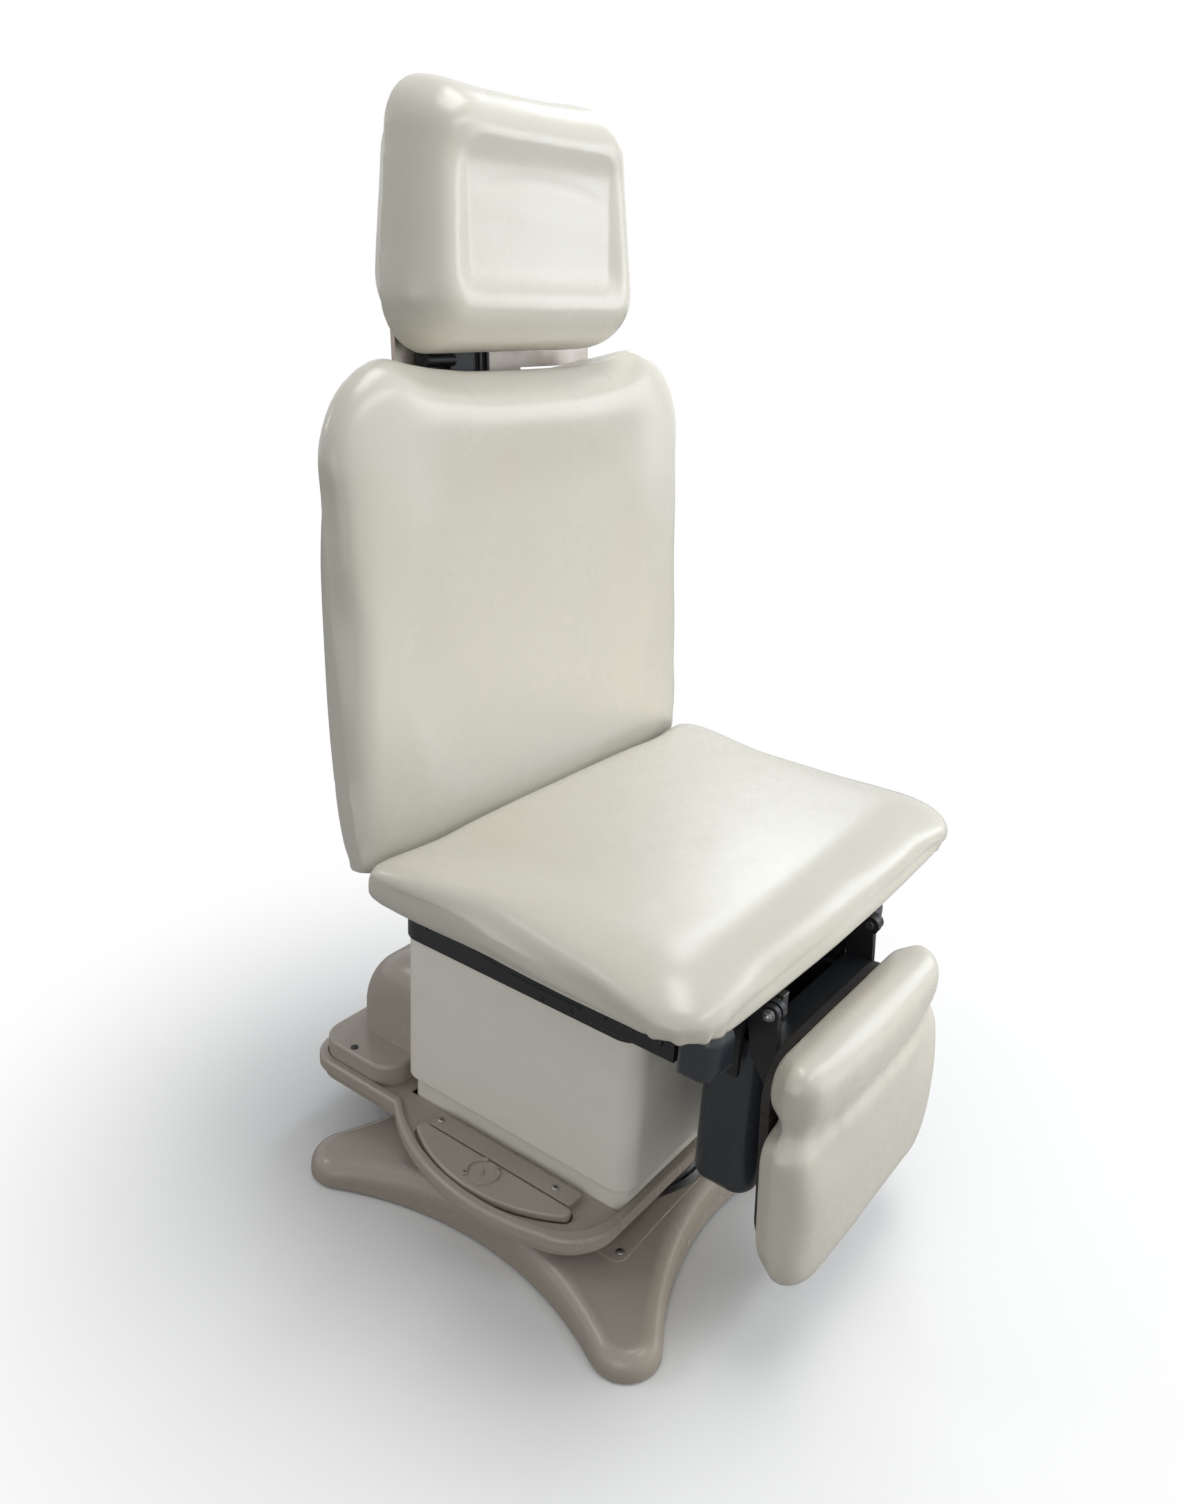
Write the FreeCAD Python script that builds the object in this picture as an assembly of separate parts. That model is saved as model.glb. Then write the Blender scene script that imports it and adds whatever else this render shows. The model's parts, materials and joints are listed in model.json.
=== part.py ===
import FreeCAD, Part
import math
import os

V = FreeCAD.Vector
os.makedirs("parts", exist_ok=True)

# Powered procedure table in chair form. Millimetres, Z up, the patient faces -Y, the origin is the swivel
# axis on the floor. Everything is drawn as it stands: back upright, leg section hanging, lift at its lowest.

# Base
PLATE_T = 8.0            # steel floor plate
TOE_X = 242.0            # centre of each rounded toe
TOE_Y = 218.0
TOE_R = 40.0
WAIST_OUT_X = 43.0       # the sides between the toes stand this much further out than the front
WAIST_LAND = 3.0         # land between the edge rounding and the flat top at the front
SHROUD_LOW = 3.0         # the base shroud stays this far off the floor
SHROUD_TOP = 58.0        # flat top of the base shroud
SHROUD_FLAT_R = 158.0    # the top slopes down to the toes outside this radius
SHROUD_SLOPE = 0.13
SHROUD_WALL = 4.0
EDGE_R = 24.0            # rounded edge of the base shroud
PANEL_T = 2.0            # front panel on the base shroud
PANEL_X = 188.0
PANEL_FRONT = 168.0
PANEL_REAR = 120.0
PANEL_CORNER = 14.0
BASE_SCREW_X = 172.0
BASE_SCREW_Y = 158.0

# Swivel bearing and brake
BEARING_CLEAR = 3.1      # bore of the bearing outside the corners of the column
BEARING_W = 14.0
RING_TOP = 50.0          # top of the lower ring
WASHER_T = 2.0
TURN_Z = 64.0            # underside of the turntable plate
TURN_T = 8.0
TURN_R = 186.0
BRAKE_GAP = 14.0         # between the bearing and the brake ring
BRAKE_W = 13.0
FIT = 0.3                # small gap between pieces that slide or turn

# Upper shroud
SKIRT_LOW = 64.5
SKIRT_IN = 7.0           # the skirt stands this far in under the rim
SKIRT_T = 3.0
RIM_LOW = 78.0           # lower edge of the rim
DECK_Z = 88.0            # flat top inside the rim
RIM_TOP = 94.0
RIM_W = 11.0
BULGE_X = 261.0          # widest point, beside the pedal
SIDE_X = 194.0           # half width of the rear block
FRONT_Y = 157.0
REAR_Y = 342.0
SHROUD_TURN = 44.0       # rear corners
COVER_DECK = 118.0       # rear cover deck
HUMP_TOP = 238.0
HUMP_X = 132.0
HUMP_R = 44.0
SUPPLY_X = 95.0          # power supply under the hump
INLET_X = 20.0           # mains inlet

# Pedal
PEDAL_IN = 197.0         # straight inner edge
PEDAL_OUT = 246.0
PEDAL_HALF = 132.0
PEDAL_Y = 8.0
PEDAL_T = 9.0
PEDAL_TOP = 97.0
PEDAL_END_R = 8.0
PIN_X = 191.0            # pedal hinge
PIN_Z = 82.0

# Telescoping column and its covers
STEP = 3.0               # each cover is this much smaller all round than the next
SHEET = 1.5
BOX_X = 168.0
BOX_FRONT = -155.0
BOX_REAR = 190.0
BOX_R = 26.0
BOX_LOW = 121.0
BOX_TOP = 321.0
COL_Y = 18.0
COL_HALF = 76.0
COL_WALL = 4.0
COL_FIT = 0.5            # running gap between two stages
COL_LOW = 12.0
COL_TOP = 296.0
STRAP_T = 3.0
STRAP_RISE = 8.0
STRAP_Y = 30.0           # half width of a strap

# Carriage
CARRIAGE_T = 10.0
BAND_TOP = 366.0
BAND_FRONT = -98.0
BAND_T = 3.0
TILT_Y = 143.0           # tilt pivot
TILT_Z = 351.5
TILT_DRIVE_Y = -105.0
TILT_DRIVE_Z = 355.0

# Seat frame and cushion
RAIL_X = 146.0
RAIL_W = 16.0
RAIL_LOW = 337.0
RISER_LOW = 366.0
RISER_X = 120.0
BOARD_LOW = 398.0
BOARD_T = 12.0
TOP_Z = 490.0            # seat height above the floor
SEAT_X = 303.0
SEAT_FRONT = -299.0
SEAT_REAR = 110.0
SEAT_CORNER = 58.0
SEAT_EDGE = 26.0
SIDE_IN = 66.0           # how far the cushion sides draw in underneath
SOFT = 0.4               # gap between a cushion and its board
PAD_UNDER_R = 10.0       # lower edge of a cushion's rim

# Back and headrest, drawn flat and then raised
BACK_Y = 146.0           # back hinge
BACK_Z = 458.0
BACK_UP = 86.0
BACK_X = 298.0
BACK_FOOT_X = 291.0
BACK_GAP = 14.0          # the pad starts this far in front of the hinge
BACK_LEN = 520.0         # hinge to the top of the shoulders
BACK_DIP = 24.0
BACK_EDGE = 24.0
BACK_CRANK = 95.0
CRANK_X = 60.0           # drives sit this far either side of the middle
HEAD_GAP = 2.0           # between the shoulders and the foot of the headrest
HEAD_LEN = 254.0
HEAD_LOW_X = 184.0
HEAD_TOP_X = 168.0
HEAD_CORNER = 58.0
HEAD_DIP = 4.0
HEAD_IN = 20.0           # how far the headrest's sides draw in at its back
HEAD_EDGE = 28.0
HEAD_Z = 508.0
HEAD_PIVOT_IN = 90.0     # foot of the headrest to its hinge
HEAD_PIVOT_Z = 391.0
POST_X = 84.0
POST_T = 6.0
POST_WING_X = 215.0      # the plate reaches out to here above the guides
POST_WING_LEFT = 118.0

# Leg section, drawn flat and then lowered
LEG_Y = -278.0           # leg hinge
LEG_Z = 396.0
LEG_DOWN = 86.0
LEG_X = 181.0
LEG_ROLL = 78.0          # upper roll, the rest is the long pad
LEG_LEN = 276.0
LEG_ROLL_R = 30.0        # corners of the roll, of the pad beside it and of its free end
LEG_FIELD_R = 26.0
LEG_END_R = 72.0
LEG_LOW = 412.0
LEG_HIGH = 471.0
LEG_CRANK = 36.0
DRIVE_R = 16.0
ROD_R = 8.0

# Places that follow from the sizes above
WAIST_Y = SHROUD_FLAT_R + EDGE_R + WAIST_LAND
WAIST_X = WAIST_Y + WAIST_OUT_X
COL_STEP = COL_WALL + COL_FIT
BEARING_IN = math.hypot(COL_HALF, COL_HALF + COL_Y) + BEARING_CLEAR
BEARING_OUT = BEARING_IN + BEARING_W
BRAKE_IN = BEARING_OUT + BRAKE_GAP
BRAKE_OUT = BRAKE_IN + BRAKE_W
BRAKE_X = (BRAKE_IN + BRAKE_OUT) / 2
BACK_LOW = BACK_Y - BACK_GAP
BACK_TOP = BACK_Y + BACK_LEN
HEAD_LOW = BACK_TOP + HEAD_GAP
HEAD_TOP = HEAD_LOW + HEAD_LEN
HEAD_PIVOT_Y = HEAD_LOW + HEAD_PIVOT_IN


def box(x0, x1, y0, y1, z0, z1):
    """Block between two corners, given in any order."""
    xs, ys, zs = sorted((x0, x1)), sorted((y0, y1)), sorted((z0, z1))
    return Part.makeBox(xs[1] - xs[0], ys[1] - ys[0], zs[1] - zs[0], V(xs[0], ys[0], zs[0]))


def rod(x, y, z, radius, length, axis=V(0, 0, 1)):
    """Round bar from a point along an axis."""
    return Part.makeCylinder(radius, length, V(x, y, z), axis)


def ring(r_in, r_out, z0, z1, x=0.0, y=0.0):
    """Turned ring about a vertical axis."""
    return rod(x, y, z0, r_out, z1 - z0).cut(rod(x, y, z0 - 1, r_in, z1 - z0 + 2))


def arc(a, m, b):
    """Edge of a circular arc through three points."""
    return Part.Arc(V(*a), V(*m), V(*b)).toShape()


def line(a, b):
    """Straight edge."""
    return Part.LineSegment(V(*a), V(*b)).toShape()


def solid_of(edges, direction):
    """Prism over a closed loop of edges."""
    return Part.Face(Part.Wire(edges)).extrude(direction)


def plate_yz(points, x0, x1):
    """Flat plate standing lengthwise, from its outline in Y and Z."""
    loop = [V(x0, y, z) for y, z in points]
    return Part.Face(Part.makePolygon(loop + loop[:1])).extrude(V(x1 - x0, 0, 0))


def plate_xz(points, y0, y1):
    """Flat plate standing crosswise, from its outline in X and Z."""
    loop = [V(x, y0, z) for x, z in points]
    return Part.Face(Part.makePolygon(loop + loop[:1])).extrude(V(0, y1 - y0, 0))


def joined(first, *others):
    """One clean solid out of pieces that meet."""
    shape = first
    for other in others:
        shape = shape.fuse(other)
    return shape.removeSplitter()


def both_sides(shape):
    """A piece and its mirror image across the middle plane."""
    return [shape, shape.mirror(V(0, 0, 0), V(1, 0, 0))]


def rounded(shape, radius, keep):
    """Round the edges that a test picks."""
    edges = [e for e in shape.Edges if keep(e)]
    return shape.makeFillet(radius, edges)


def at_height(edge, z):
    """Whether an edge lies level at a height."""
    return all(abs(v.Z - z) < 1e-4 for v in edge.Vertexes) and abs(edge.BoundBox.ZLength) < 1e-3


def upright(edge):
    """Whether an edge is a straight vertical line."""
    b = edge.BoundBox
    return b.XLength < 1e-3 and b.YLength < 1e-3 and b.ZLength > 1


def rounded_block(x0, x1, y0, y1, z0, z1, radius):
    """Block with rounded upright corners."""
    return rounded(box(x0, x1, y0, y1, z0, z1), radius, upright)


def screw(x, y, z, axis, head_r, head_h, shank_r, shank_l):
    """Round-headed screw: the head stands out along the axis, the shank goes in."""
    head = rod(x, y, z, head_r, head_h, axis)
    shank = rod(x, y, z, shank_r, shank_l, axis * -1)
    return joined(head, shank)


def save(node, *solids):
    """Write one piece, or a set of like pieces, to its own file."""
    shape = solids[0] if len(solids) == 1 else Part.makeCompound(list(solids))
    shape.exportStep("parts/%s.step" % node)


# Base

def bay(mid, toe_along, toe_across, toe_r):
    """Where the hollow side between two toes leaves the toe circle, along and across the side."""
    lead = mid - toe_across
    radius = (lead ** 2 + toe_along ** 2 - toe_r ** 2) / (2 * (toe_r - lead))
    gone = (mid + radius) - toe_across
    span = math.hypot(gone, toe_along)
    return toe_along - toe_along * toe_r / span, toe_across + gone * toe_r / span


def base_outline(inset, z):
    """Cross-shaped outline with round toes and hollow sides."""
    toe = TOE_R - inset
    side_y, side_x = bay(WAIST_X - inset, TOE_Y, TOE_X, toe)
    front_x, front_y = bay(WAIST_Y - inset, TOE_X, TOE_Y, toe)
    tip = toe * math.sqrt(0.5)
    edges = []
    for sx, sy in ((1, 1), (-1, 1), (-1, -1), (1, -1)):
        a = (sx * side_x, sy * side_y, z)
        m = (sx * (TOE_X + tip), sy * (TOE_Y + tip), z)
        b = (sx * front_x, sy * front_y, z)
        edges.append(arc(a, m, b))
    for s in (1, -1):
        mid_y = s * (WAIST_Y - inset)
        mid_x = s * (WAIST_X - inset)
        edges.append(arc((front_x, s * front_y, z), (0, mid_y, z), (-front_x, s * front_y, z)))
        edges.append(arc((s * side_x, side_y, z), (mid_x, 0, z), (s * side_x, -side_y, z)))
    return Part.__sortEdges__(edges)


def dome(top, low):
    """Body of revolution that gives the shroud its flat middle and sloping toes."""
    far = 480.0
    rim = top - (far - SHROUD_FLAT_R) * SHROUD_SLOPE
    loop = [V(0, 0, low), V(far, 0, low), V(far, 0, rim), V(SHROUD_FLAT_R, 0, top), V(0, 0, top)]
    return Part.Face(Part.makePolygon(loop + loop[:1])).revolve(V(0, 0, 0), V(0, 0, 1), 360)


def make_base_shroud():
    """Moulded shell over the floor plate, open in the middle for the bearing."""
    block = solid_of(base_outline(0, SHROUD_LOW), V(0, 0, SHROUD_TOP))
    outer = block.common(dome(SHROUD_TOP, SHROUD_LOW))
    outer = rounded(outer, EDGE_R, lambda e: e.BoundBox.ZMin > SHROUD_LOW + 2 and not upright(e)
                    and e.BoundBox.ZMin < SHROUD_TOP - 0.5)
    hollow = solid_of(base_outline(SHROUD_WALL, SHROUD_LOW - 1), V(0, 0, SHROUD_TOP))
    hollow = hollow.common(dome(SHROUD_TOP - SHROUD_WALL - 3, SHROUD_LOW - 1))
    plate_room = solid_of(base_outline(SHROUD_WALL, SHROUD_LOW - 1), V(0, 0, PLATE_T + 1))
    hollow = hollow.common(plate_room.fuse(
        solid_of(base_outline(EDGE_R + SHROUD_WALL, SHROUD_LOW - 1), V(0, 0, SHROUD_TOP))))
    return outer.cut(hollow).cut(rod(0, 0, -1, BRAKE_OUT + 4, SHROUD_TOP + 2))


def base():
    """Everything that stands still on the floor."""
    save("base_plate", solid_of(base_outline(SHROUD_WALL + FIT, 0), V(0, 0, PLATE_T)))
    shroud = make_base_shroud()
    panel = rounded_block(-PANEL_X, PANEL_X, -PANEL_FRONT, -PANEL_REAR, SHROUD_LOW, SHROUD_TOP + PANEL_T,
                          PANEL_CORNER)
    panel = panel.common(dome(SHROUD_TOP + PANEL_T, SHROUD_LOW))
    panel = panel.cut(dome(SHROUD_TOP + FIT / 2, SHROUD_LOW - 1))
    panel = panel.cut(rod(0, 0, 0, BRAKE_OUT + 4, 100))
    screws = []
    for x, y in [(sx * BASE_SCREW_X, sy * BASE_SCREW_Y) for sx in (1, -1) for sy in (1, -1)]:
        face = SHROUD_TOP - (math.hypot(x, y) + 6 - SHROUD_FLAT_R) * SHROUD_SLOPE
        face += PANEL_T if y < 0 else 0
        seat_face = rod(x, y, face, 5 + FIT, 20).fuse(rod(x, y, face - 20, 2.2, 21))
        shroud = shroud.cut(seat_face)
        panel = panel.cut(seat_face)
        screws.append(screw(x, y, face, V(0, 0, 1), 5, 1.8, 2.2 - FIT, 9))
    save("base_shroud", shroud)
    save("base_front_panel", panel)
    save("base_screws", *screws)
    web = ring(BEARING_IN, BEARING_OUT - 6, PLATE_T, RING_TOP)
    save("bearing_lower_ring", joined(web, ring(BEARING_IN, BEARING_OUT, RING_TOP - 6, RING_TOP)))
    save("thrust_washer", ring(BEARING_IN, BEARING_OUT, RING_TOP, RING_TOP + WASHER_T))
    save("brake_ring", ring(BRAKE_IN, BRAKE_OUT, PLATE_T, RING_TOP))


# Turntable

def shroud_outline(inset, z):
    """Plan of the upper shroud: a rear block and a bulge each side of the column."""
    side = SIDE_X - inset
    out = BULGE_X - inset
    front = -FRONT_Y + inset
    rear = REAR_Y - inset
    turn = SHROUD_TURN - inset
    neck = 178.0
    cheek = (BULGE_X - 14.0 - inset, -98.0)
    edges = [line((side - 12, front, z), (-side + 12, front, z)),
             line((side - turn, rear, z), (-side + turn, rear, z))]
    cut = turn * (1 - math.sqrt(0.5))
    for s in (1, -1):
        edges.append(arc((s * (side - turn), rear, z), (s * (side - cut), rear - cut, z),
                         (s * side, rear - turn, z)))
        edges.append(line((s * side, rear - turn, z), (s * side, neck, z)))
        edges.append(arc((s * side, neck, z), (s * out, -5, z), (s * cheek[0], cheek[1], z)))
        edges.append(arc((s * cheek[0], cheek[1], z), (s * (side + 34), front + 19, z),
                         (s * (side - 12), front, z)))
    return Part.__sortEdges__(edges)


def pedal_block(grow, low, high):
    """Crescent: straight inner edge, bowed outer edge, rounded ends."""
    bow = PEDAL_OUT - PEDAL_IN
    radius = (bow ** 2 + PEDAL_HALF ** 2) / (2 * bow)
    disc = rod(radius - PEDAL_OUT, PEDAL_Y, low, radius + grow, high - low)
    block = disc.common(box(-PEDAL_OUT - 50, -PEDAL_IN + grow, PEDAL_Y - 300, PEDAL_Y + 300, low, high))
    return rounded(block, PEDAL_END_R + grow, upright)


def cover_shell(index, low, high):
    """One of the nested sheet covers; index 0 is the outermost."""
    d = STEP * index
    outer = rounded_block(-BOX_X + d, BOX_X - d, BOX_FRONT + d, BOX_REAR - d, low, high, BOX_R - d)
    e = d + SHEET
    inner = rounded_block(-BOX_X + e, BOX_X - e, BOX_FRONT + e, BOX_REAR - e, low - 1, high + 1, BOX_R - e)
    return outer.cut(inner)


def cover_inner_x(index):
    """Inside half width of a nested cover."""
    return BOX_X - STEP * index - SHEET


def strap_notch(low):
    """Room at the top of a cover for the straps that reach past it."""
    return box(-BOX_X - 1, BOX_X + 1, COL_Y - STRAP_Y - 3, COL_Y + STRAP_Y + 3, low, BOX_TOP)


def column_stage(index):
    """Square column tube; the middle ones carry a strap each side to hold their cover."""
    half = COL_HALF - COL_STEP * index
    low = COL_LOW + 2.0 * index
    high = COL_TOP + STRAP_RISE * index if index < 3 else BOX_TOP
    hole = half - COL_WALL
    tube = box(-half, half, COL_Y - half, COL_Y + half, low, high)
    tube = tube.cut(box(-hole, hole, COL_Y - hole, COL_Y + hole, low - 1, high + 1))
    if index in (1, 2):
        reach = cover_inner_x(3 - index)
        for s in (1, -1):
            strap = box(s * (half - 1), s * reach, COL_Y - STRAP_Y, COL_Y + STRAP_Y, high - STRAP_T, high)
            lip = box(s * (reach - 2), s * reach, COL_Y - STRAP_Y, COL_Y + STRAP_Y, high - STRAP_T, high + 4)
            tube = joined(tube, strap, lip)
    return tube


def make_upper_shroud():
    """Turning shroud: thin shell with a raised rim, open for the column, the pedal and the rear cover."""
    body = solid_of(shroud_outline(0, RIM_LOW), V(0, 0, RIM_TOP - RIM_LOW))
    body = rounded(body, 5.0, lambda e: at_height(e, RIM_TOP))
    body = joined(body, solid_of(shroud_outline(SKIRT_IN, SKIRT_LOW), V(0, 0, RIM_LOW + 1 - SKIRT_LOW)))
    body = body.cut(solid_of(shroud_outline(RIM_W, DECK_Z), V(0, 0, 30)))
    inside = shroud_outline(SKIRT_IN + SKIRT_T, SKIRT_LOW - 1)
    body = body.cut(solid_of(inside, V(0, 0, DECK_Z - SKIRT_T - SKIRT_LOW + 1)))
    hole = BOX_X - 3 * STEP + 1.0
    body = body.cut(box(-hole, hole, BOX_FRONT + 8, BOX_REAR - 8, 0, 200))
    body = body.cut(pedal_block(2.5, 0, 200))
    body = body.cut(rod(-BRAKE_X, 0, SKIRT_LOW, 8.5, DECK_Z - 0.8 - SKIRT_LOW))
    body = body.cut(box(-SUPPLY_X - 4, SUPPLY_X + 4, BOX_REAR + 16, BOX_REAR + 72, TURN_Z, RIM_TOP))
    body = body.cut(box(-INLET_X - FIT, INLET_X + FIT, REAR_Y - 20, REAR_Y + 1, TURN_Z, TURN_Z + TURN_T + 11))
    return body


def make_rear_cover():
    """Deck with a rounded hump behind the column, hollow underneath."""
    side, rear = SIDE_X - RIM_W - 1, REAR_Y - RIM_W - 1
    front = BOX_REAR + 10
    deck = rounded_block(-side, side, front, rear, DECK_Z, COVER_DECK, SHROUD_TURN - RIM_W)
    deck = rounded(deck, 5.0, lambda e: at_height(e, COVER_DECK))
    z0 = COVER_DECK - 8
    back_y = rear - 12
    bend = back_y - front - 26
    turn = front + 26
    k = bend * math.sqrt(0.5)
    loop = [line((-HUMP_X, front, z0), (-HUMP_X, front, HUMP_TOP)),
            line((-HUMP_X, front, HUMP_TOP), (-HUMP_X, turn, HUMP_TOP)),
            arc((-HUMP_X, turn, HUMP_TOP), (-HUMP_X, turn + k, HUMP_TOP - bend + k),
                (-HUMP_X, back_y, HUMP_TOP - bend)),
            line((-HUMP_X, back_y, HUMP_TOP - bend), (-HUMP_X, back_y, z0)),
            line((-HUMP_X, back_y, z0), (-HUMP_X, front, z0))]
    hump = solid_of(Part.__sortEdges__(loop), V(2 * HUMP_X, 0, 0))
    hump = rounded(hump, HUMP_R, lambda e: e.BoundBox.XLength < 1e-3 and e.BoundBox.ZMax > z0 + 1
                   and e.BoundBox.YMax > front + 1)
    body = joined(deck, hump)
    room = box(-HUMP_X + 8, HUMP_X - 8, front + 4, front + 62, DECK_Z - 1, HUMP_TOP - 40)
    corner = SHROUD_TURN - RIM_W - 5
    low = rounded_block(-side + 5, side - 5, front + 5, rear - 6, DECK_Z - 1, COVER_DECK - 6, corner)
    return body.cut(room).cut(low)


def turntable():
    """Everything that swivels but does not rise."""
    top = TURN_Z + TURN_T
    hole = COL_HALF + FIT
    plate = joined(rod(0, 0, TURN_Z, TURN_R, TURN_T), box(-150, 150, 60, REAR_Y - 20, TURN_Z, top))
    plate = plate.common(solid_of(shroud_outline(SKIRT_IN + SKIRT_T + FIT, TURN_Z), V(0, 0, TURN_T)))
    plate = plate.cut(box(-hole, hole, COL_Y - hole, COL_Y + hole, 0, 200))
    plate = plate.cut(rod(-BRAKE_X, 0, 0, 6, 200))
    save("turntable_plate", plate)
    low = RING_TOP + WASHER_T
    upper = joined(ring(BEARING_IN, BEARING_OUT + 12, low + 4, TURN_Z),
                   ring(BEARING_IN, BEARING_OUT, low, low + 4),
                   ring(BEARING_OUT + 4, BEARING_OUT + 12, RING_TOP - 6, low + 4))
    save("bearing_upper_ring", upper)
    save("keeper_ring", ring(BEARING_OUT - 5, BEARING_OUT + 12, RING_TOP - 12, RING_TOP - 6 - 2 * FIT)
         .cut(ring(BEARING_OUT + 4, BEARING_OUT + 12.5, RING_TOP - 6 - 2 * FIT, RING_TOP))
         .fuse(ring(BEARING_OUT + 4, BEARING_OUT + 12, RING_TOP - 7, RING_TOP - 6)).removeSplitter())
    shroud = make_upper_shroud()
    rear = make_rear_cover()
    holes = [(sx * 172.0, 272.0) for sx in (1, -1)]
    for x, y in holes:
        rear = rear.cut(rod(x, y, 0, 2.2, 300))
    save("rear_cover", rear)
    save("rear_cover_screws", *[screw(x, y, COVER_DECK, V(0, 0, 1), 5, 1.8, 2.2 - FIT, 14) for x, y in holes])
    save_pedal_mount(shroud)
    cover = cover_shell(3, top, BOX_TOP - 3)
    cover = cover.cut(box(-BRAKE_X - 12, -BRAKE_X + 12, -14, 14, 0, DECK_Z - 1))
    cover = cover.cut(strap_notch(COL_TOP + STRAP_RISE - STRAP_T - 2))
    save("lift_cover_lower", cover)
    stage = column_stage(0)
    flange = box(-92, 92, COL_Y - 92, COL_Y + 92, top, top + 6)
    inside = COL_HALF - 1
    flange = flange.cut(box(-inside, inside, COL_Y - inside, COL_Y + inside, 0, 200))
    floor = box(-COL_HALF, COL_HALF, COL_Y - COL_HALF, COL_Y + COL_HALF, COL_LOW - 2, COL_LOW)
    save("column_stage_1", joined(stage, flange, floor))
    motor_y = COL_Y + COL_HALF + 48
    motor = joined(rod(52, motor_y, top, 28, 130), rod(52, motor_y, top + 128, 20, 34),
                   box(20, 84, COL_Y + COL_HALF, motor_y, top + 6, top + 46))
    save("lift_motor", motor)
    supply = rounded_block(-SUPPLY_X, SUPPLY_X, BOX_REAR + 20, BOX_REAR + 68, top, 186, 6)
    save("power_supply", supply)
    socket = box(-24, 24, REAR_Y - 24, REAR_Y - 19, top, top + 12)
    inlet = joined(socket, box(-INLET_X, INLET_X, REAR_Y - 26, REAR_Y - 4, top, top + 10))
    inlet = inlet.cut(box(-14, 14, REAR_Y - 16, REAR_Y, top + 2.5, top + 8))
    save("mains_inlet", inlet)


def save_pedal_mount(shroud):
    """Hinge strip with its screws and the hinge pin; the shroud is cut to take them."""
    x0, x1 = -(PEDAL_IN - 2), -(BOX_X + 2)
    y0, y1 = PEDAL_Y - 108, PEDAL_Y + 108
    strip = rounded_block(x0, x1, y0, y1, DECK_Z, PEDAL_TOP - 1, 3)
    under = PIN_X + 5
    strip = strip.cut(rod(-PIN_X, y0 + 20, PIN_Z, 3.2 + FIT, y1 - y0 - 40, V(0, 1, 0)))
    strip = strip.cut(box(-under - 10, -PIN_X + 5, y0 + 24, y1 - 24, DECK_Z - 1, PIN_Z + 9))
    lugs = [box(-PIN_X - 5, -PIN_X + 5, y, y + 6, PIN_Z - 5, DECK_Z) for y in (y0 + 12, y1 - 18)]
    lugs = [lug.cut(rod(-PIN_X, y0, PIN_Z, 3.2, y1 - y0, V(0, 1, 0))) for lug in lugs]
    shroud = shroud.cut(box(-PIN_X - 6, -PIN_X + 6, y0 + 8, y1 - 8, 0, 200))
    spots = [(-(PEDAL_IN + BOX_X) / 2, y) for y in (y0 + 30, y1 - 8)]
    for x, y in spots:
        strip = strip.cut(rod(x, y, 0, 2.0, 200))
        shroud = shroud.cut(rod(x, y, 0, 2.0, 200))
    save("pedal_strip", joined(strip, *lugs))
    save("upper_shroud", shroud)
    save("strip_screws", *[screw(x, y, PEDAL_TOP - 1, V(0, 0, 1), 4.5, 1.6, 2.0 - FIT, 10) for x, y in spots])
    save("pedal_pin", rod(-PIN_X, y0 + 12, PIN_Z, 3.2, y1 - y0 - 24, V(0, 1, 0)))


def pedal_and_brake():
    """Crescent pedal with its lever, and the brake plunger held in the lever's fork."""
    low = PEDAL_TOP - PEDAL_T
    plate = pedal_block(0, low, PEDAL_TOP)
    plate = rounded(plate, 3.0, lambda e: at_height(e, PEDAL_TOP))
    hub_y0, hub_y1 = PEDAL_Y - 83, PEDAL_Y + 83
    hub = rod(-PIN_X, hub_y0, PIN_Z, 5.8, hub_y1 - hub_y0, V(0, 1, 0))
    arm = plate_xz([(-PIN_X - 5, PIN_Z), (-PIN_X - 5, low + 1), (-PEDAL_IN - 20, low + 1),
                    (-PEDAL_IN - 20, low - 3)], hub_y0, hub_y1)
    lever = box(-PIN_X + 3, -BRAKE_X + 7, -10, 10, PIN_Z - 5.5, PIN_Z - 2.5)
    body = joined(plate, hub, arm, lever)
    body = body.cut(rod(-PIN_X, hub_y0 - 1, PIN_Z, 3.2 + FIT, hub_y1 - hub_y0 + 2, V(0, 1, 0)))
    body = body.cut(box(-BRAKE_X - 5, -BRAKE_X + 20, -5, 5, PIN_Z - 9, PIN_Z + 5))
    save("pedal", body)
    collar_z = PIN_Z - 2.5 + FIT
    stem = rod(-BRAKE_X, 0, RING_TOP + 6, 3.5, collar_z + 1.6 - RING_TOP - 6)
    collar = rod(-BRAKE_X, 0, collar_z, 7, 1.6)
    shoe = rod(-BRAKE_X, 0, RING_TOP + FIT, 5, 6)
    save("brake_plunger", joined(stem, collar, shoe))


# Lift

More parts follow.
